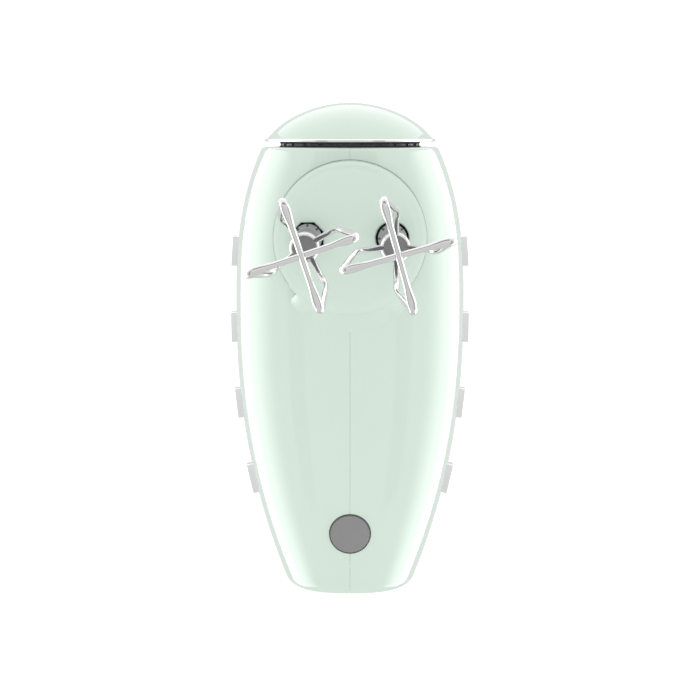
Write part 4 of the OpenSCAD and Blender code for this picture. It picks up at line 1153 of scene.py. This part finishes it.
class MIXER_OT_controls(bpy.types.Operator):
    """Build the control panel, its window and buttons, and the eject button"""

    bl_idname = "mixer.build_controls"
    bl_label = "Controls and cord gland"

    def execute(self, context):
        lo, hi = box_mm("control_panel")
        window_lo, window_hi = box_mm("display_window")
        panel = prism("control_panel_face", rectangle(lo[0], lo[2], hi[0], hi[2], 1.2), lo[1], hi[1])
        bevel(panel, 0.4)
        cut(
            panel,
            prism("window_seat", widened(window_lo, window_hi, 0.1, 0.9), window_lo[1], hi[1] + 1),
            prism("window_hole", widened(window_lo, window_hi, -0.9, 0.5), lo[1] - 1, hi[1]),
        )
        for key in ("power", "turbo", "minus", "plus"):
            key_lo, key_hi = box_mm(f"{key}_button")
            at = (key_lo + key_hi) / 2
            wide = (key_hi[0] - key_lo[0]) / 2
            r = wide - 0.8
            cut(panel, bore("key_hole", r + 0.2, lo[1] - 1, hi[1] + 1, (at[0], 0, at[2]), segments=64))
            top, base = key_hi[1], lo[1] - 1.6
            profile = [
                (0, key_lo[1]), (1.4, key_lo[1]), (1.4, base), (wide, base), (wide, lo[1] - 0.3),
                (r, lo[1] - 0.3), (r, top - 0.45), (r - 0.13, top - 0.15), (r - 0.45, top),
                (r - 0.8, top - 0.02), (r * 0.5, top - 0.22), (0, top - 0.3),
            ]
            button = lathe(f"{key}_key", profile, (at[0], 0, at[2]), "Y", 72)
            groove = top - 0.12
            marks = []
            if key in ("minus", "plus"):
                marks.append(rectangle(-1.3, -0.22, 1.3, 0.22))
            if key == "plus":
                marks.append(rectangle(-0.22, -1.3, 0.22, 1.3))
            if key == "turbo":
                marks += [[(-1.4, -1.0), (-0.1, 0), (-1.4, 1.0)], [(0.1, -1.0), (1.4, 0), (0.1, 1.0)]]
            if key == "power":
                marks.append(rectangle(-0.22, 0.1, 0.22, 1.9))
            for mark in marks:
                tool = prism("mark", mark, groove - 0.4, top + 1)
                tool.data.transform(Matrix.Translation(Vector((at[0], 0, at[2])) * MM))
                cut(button, outward(tool))
            shade(button, 35)
            hand_over(button, f"{key}_key", NODE_SLOTS[f"{key}_button"], f"{key}_button")
        shade(panel, 35)
        hand_over(panel, "housing", NODE_SLOTS["control_panel"], "control_panel")
        window = prism("display_cover", widened(window_lo, window_hi, 0, 0.8), window_lo[1], window_hi[1])
        shade(bevel(window, 0.2), 35)
        hand_over(window, "housing", "display_glass", "display_window")
        lo, hi = box_mm("eject_button")
        r, edge = (hi[0] - lo[0]) / 2, 1.7
        profile = [(0, lo[1]), (r, lo[1]), (r, hi[1] - edge)]
        for t in np.linspace(0.2, math.pi / 2, 7):
            profile.append((r - edge + edge * math.cos(t), hi[1] - edge + edge * math.sin(t)))
        profile += [(r * 0.55, hi[1] - 0.12), (0, hi[1] - 0.3)]
        button = shade(lathe("eject_cap", profile, (0, 0, SPINDLE_Z), "Y", 96), 40)
        hand_over(button, "ejector", NODE_SLOTS["eject_button"], "eject_button")
        return {"FINISHED"}


class MIXER_OT_inner_parts(bpy.types.Operator):
    """Give every CAD node that still shows its finish"""

    bl_idname = "mixer.finish_inner_parts"
    bl_label = "Inner parts"

    def execute(self, context):
        for name, node in frame["nodes"].items():
            node.data.materials.clear()
            node.data.materials.append(all_finishes()[NODE_SLOTS[name]])
        return {"FINISHED"}


# ---------- studio (metres) ----------

FLOOR_GLOW = 0.82
LENS_MM = 137.1
CAMERA_PLACE = (0, -1.081, 0.1906)
CAMERA_TARGET = (0, 0, 0.0959)


def painted_pieces():
    """The glossy mint pieces, named as the receivers of the long studio lights."""
    name = "painted_pieces"
    if name not in bpy.data.collections:
        made = bpy.data.collections.new(name)
        for obj in bpy.context.scene.objects:
            if obj.type == "MESH" and obj.active_material and obj.active_material.name == "mint_plastic":
                made.objects.link(obj)
    return bpy.data.collections[name]


def card(name, corners, strength, ramp_axis="X", dim=0.0, bright=1.0, clear=1.0):
    """A card that only shows in reflections, brighter towards one side."""
    obj = new_object(name, np.array(corners) / MM, [[0, 1, 2, 3]])
    mat = bpy.data.materials.new(name)
    mat.use_nodes = True
    tree = mat.node_tree
    tree.nodes.clear()
    place = add(tree, "ShaderNodeTexCoord").outputs["Object"]
    axes = add(tree, "ShaderNodeSeparateXYZ", {"Vector": place})
    level = add(
        tree,
        "ShaderNodeMapRange",
        {"Value": axes.outputs[ramp_axis], "From Min": dim, "From Max": bright, "To Min": 0.0, "To Max": strength},
        interpolation_type="SMOOTHSTEP",
    )
    glow = add(tree, "ShaderNodeEmission", {"Strength": level.outputs["Result"]})
    through = add(tree, "ShaderNodeBsdfTransparent", {"Color": (clear, clear, clear, 1)})
    both = add(tree, "ShaderNodeAddShader", {0: glow.outputs[0], 1: through.outputs[0]})
    out = add(tree, "ShaderNodeOutputMaterial")
    tree.links.new(both.outputs[0], out.inputs["Surface"])
    obj.data.materials.append(mat)
    if strength > 0:
        obj.light_linking.receiver_collection = painted_pieces()
    obj.visible_camera = obj.visible_diffuse = obj.visible_shadow = obj.visible_transmission = False
    return obj


class MIXER_OT_studio(bpy.types.Operator):
    """Build the pale floor, the soft studio light and the camera"""

    bl_idname = "mixer.build_studio"
    bl_label = "Studio and camera"

    def execute(self, context):
        studio = context.scene.mixer_studio
        world = bpy.data.worlds.new("white_room")
        context.scene.world = world
        world.use_nodes = True
        tree = world.node_tree
        tree.nodes.clear()
        way = add(tree, "ShaderNodeTexCoord").outputs["Generated"]
        front = add(tree, "ShaderNodeVectorMath", {0: way, 1: (0, -1, 0)}, operation="DOT_PRODUCT")
        share = maths(tree, "MULTIPLY_ADD", front.outputs["Value"], 0.5, 0.5)
        ramp = add(tree, "ShaderNodeValToRGB", {"Fac": share})
        stops = [(0.0, 0.80), (0.2, 0.86), (0.5, 1.0), (0.84, 1.0), (0.93, 0.92), (1.0, 0.86)]
        elements = ramp.color_ramp.elements
        for i, (at, level) in enumerate(stops):
            stop = elements[i] if i < 2 else elements.new(at)
            stop.position = at
            stop.color = (level, level, level, 1)
        seen = add(tree, "ShaderNodeLightPath").outputs["Is Camera Ray"]
        links = {"Factor": seen, "A": ramp.outputs["Color"], "B": (1.4, 1.4, 1.4, 1)}
        mix = add(tree, "ShaderNodeMix", links, data_type="RGBA")
        # a little more light from above than from below
        height = add(tree, "ShaderNodeSeparateXYZ", {"Vector": way}).outputs["Z"]
        level = maths(tree, "MULTIPLY", maths(tree, "MULTIPLY_ADD", height, 0.16, 1.0), studio.room)
        sky = add(tree, "ShaderNodeBackground", {"Color": mix.outputs["Result"], "Strength": level})
        out = add(tree, "ShaderNodeOutputWorld")
        tree.links.new(sky.outputs[0], out.inputs["Surface"])

        for name, side in SIDES:
            x = side * 0.9
            corners = [(x, -0.55, -1.2), (x, 1.15, -1.2), (x, 1.15, 0.85), (x, -0.55, 0.85)]
            card(f"strip_light_{name}", corners, studio.strips, "Y", -0.45, 0.15)
        overhead = [(-0.9, -0.6, 1.0), (0.9, -0.6, 1.0), (0.9, 1.9, 1.0), (-0.9, 1.9, 1.0)]
        card("overhead_light", overhead, studio.overhead, "Y", -0.6, 0.9)
        # dark flags that put streaks into the polished wires
        above = [(-0.5, -0.7, 0.55), (0.3, -0.7, 0.55), (0.3, -0.7, 1.05), (-0.5, -0.7, 1.05)]
        card("flag_above", above, 0.0, clear=0.35)
        for name, side in SIDES:
            x = side * 0.42
            corners = [(x, -0.72, -0.4), (x * 1.6, -0.62, -0.4), (x * 1.6, -0.62, 0.5), (x, -0.72, 0.5)]
            card(f"flag_{name}", corners, 0.0, clear=0.5)

        corners = np.array([(-4, -4, 0), (4, -4, 0), (4, 4, 0), (-4, 4, 0)]) / MM
        floor = new_object("floor", corners, [[0, 1, 2, 3]])
        floor.location.z = -0.0002
        floor.data.materials.append(finish("pale_floor", (0.35, 0.35, 0.35), 0.9, drift=0.01, spread=0.02))
        shader = floor.data.materials[0].node_tree.nodes["Principled BSDF"]
        shader.inputs["Specular IOR Level"].default_value = 0.0
        shader.inputs["Emission Color"].default_value = (1, 1, 1, 1)
        shader.inputs["Emission Strength"].default_value = FLOOR_GLOW
        floor.visible_glossy = False

        lens = bpy.data.cameras.new("camera")
        lens.lens = LENS_MM
        lens.sensor_width = 36.0
        lens.clip_start, lens.clip_end = 0.05, 50.0
        camera = bpy.data.objects.new("camera", lens)
        context.scene.collection.objects.link(camera)
        place = Vector(CAMERA_PLACE)
        camera.location = place
        camera.rotation_euler = (Vector(CAMERA_TARGET) - place).to_track_quat("-Z", "Y").to_euler()
        context.scene.camera = camera
        context.scene.view_settings.view_transform = "Standard"
        return {"FINISHED"}


# ---------- panel and registration ----------

PIECES = (
    MIXER_OT_inner_parts,
    MIXER_OT_shells,
    MIXER_OT_spindle_plate,
    MIXER_OT_nose,
    MIXER_OT_trim,
    MIXER_OT_controls,
    MIXER_OT_beaters,
    MIXER_OT_studio,
)


class MIXER_PT_panel(bpy.types.Panel):
    """Lists the mixer's pieces and settings"""

    bl_idname = "MIXER_PT_panel"
    bl_label = "Hand mixer"
    bl_space_type = "VIEW_3D"
    bl_region_type = "UI"
    bl_category = "Hand mixer"

    def draw(self, context):
        scene = context.scene
        for settings in (scene.mixer_sizes, scene.mixer_finishes, scene.mixer_studio):
            column = self.layout.column()
            for name in settings.__annotations__:
                column.prop(settings, name)
        for piece in PIECES:
            self.layout.operator(piece.bl_idname)


CLASSES = (MixerSizes, MixerFinishes, MixerStudio, *PIECES, MIXER_PT_panel)


def register():
    for cls in CLASSES:
        bpy.utils.register_class(cls)
    bpy.types.Scene.mixer_sizes = PointerProperty(type=MixerSizes)
    bpy.types.Scene.mixer_finishes = PointerProperty(type=MixerFinishes)
    bpy.types.Scene.mixer_studio = PointerProperty(type=MixerStudio)


def unregister():
    del bpy.types.Scene.mixer_sizes, bpy.types.Scene.mixer_finishes, bpy.types.Scene.mixer_studio
    for cls in reversed(CLASSES):
        bpy.utils.unregister_class(cls)


def main():
    register()
    for piece in PIECES:
        group_name, call = piece.bl_idname.split(".")
        getattr(getattr(bpy.ops, group_name), call)()


if __name__ == "__main__":
    main()
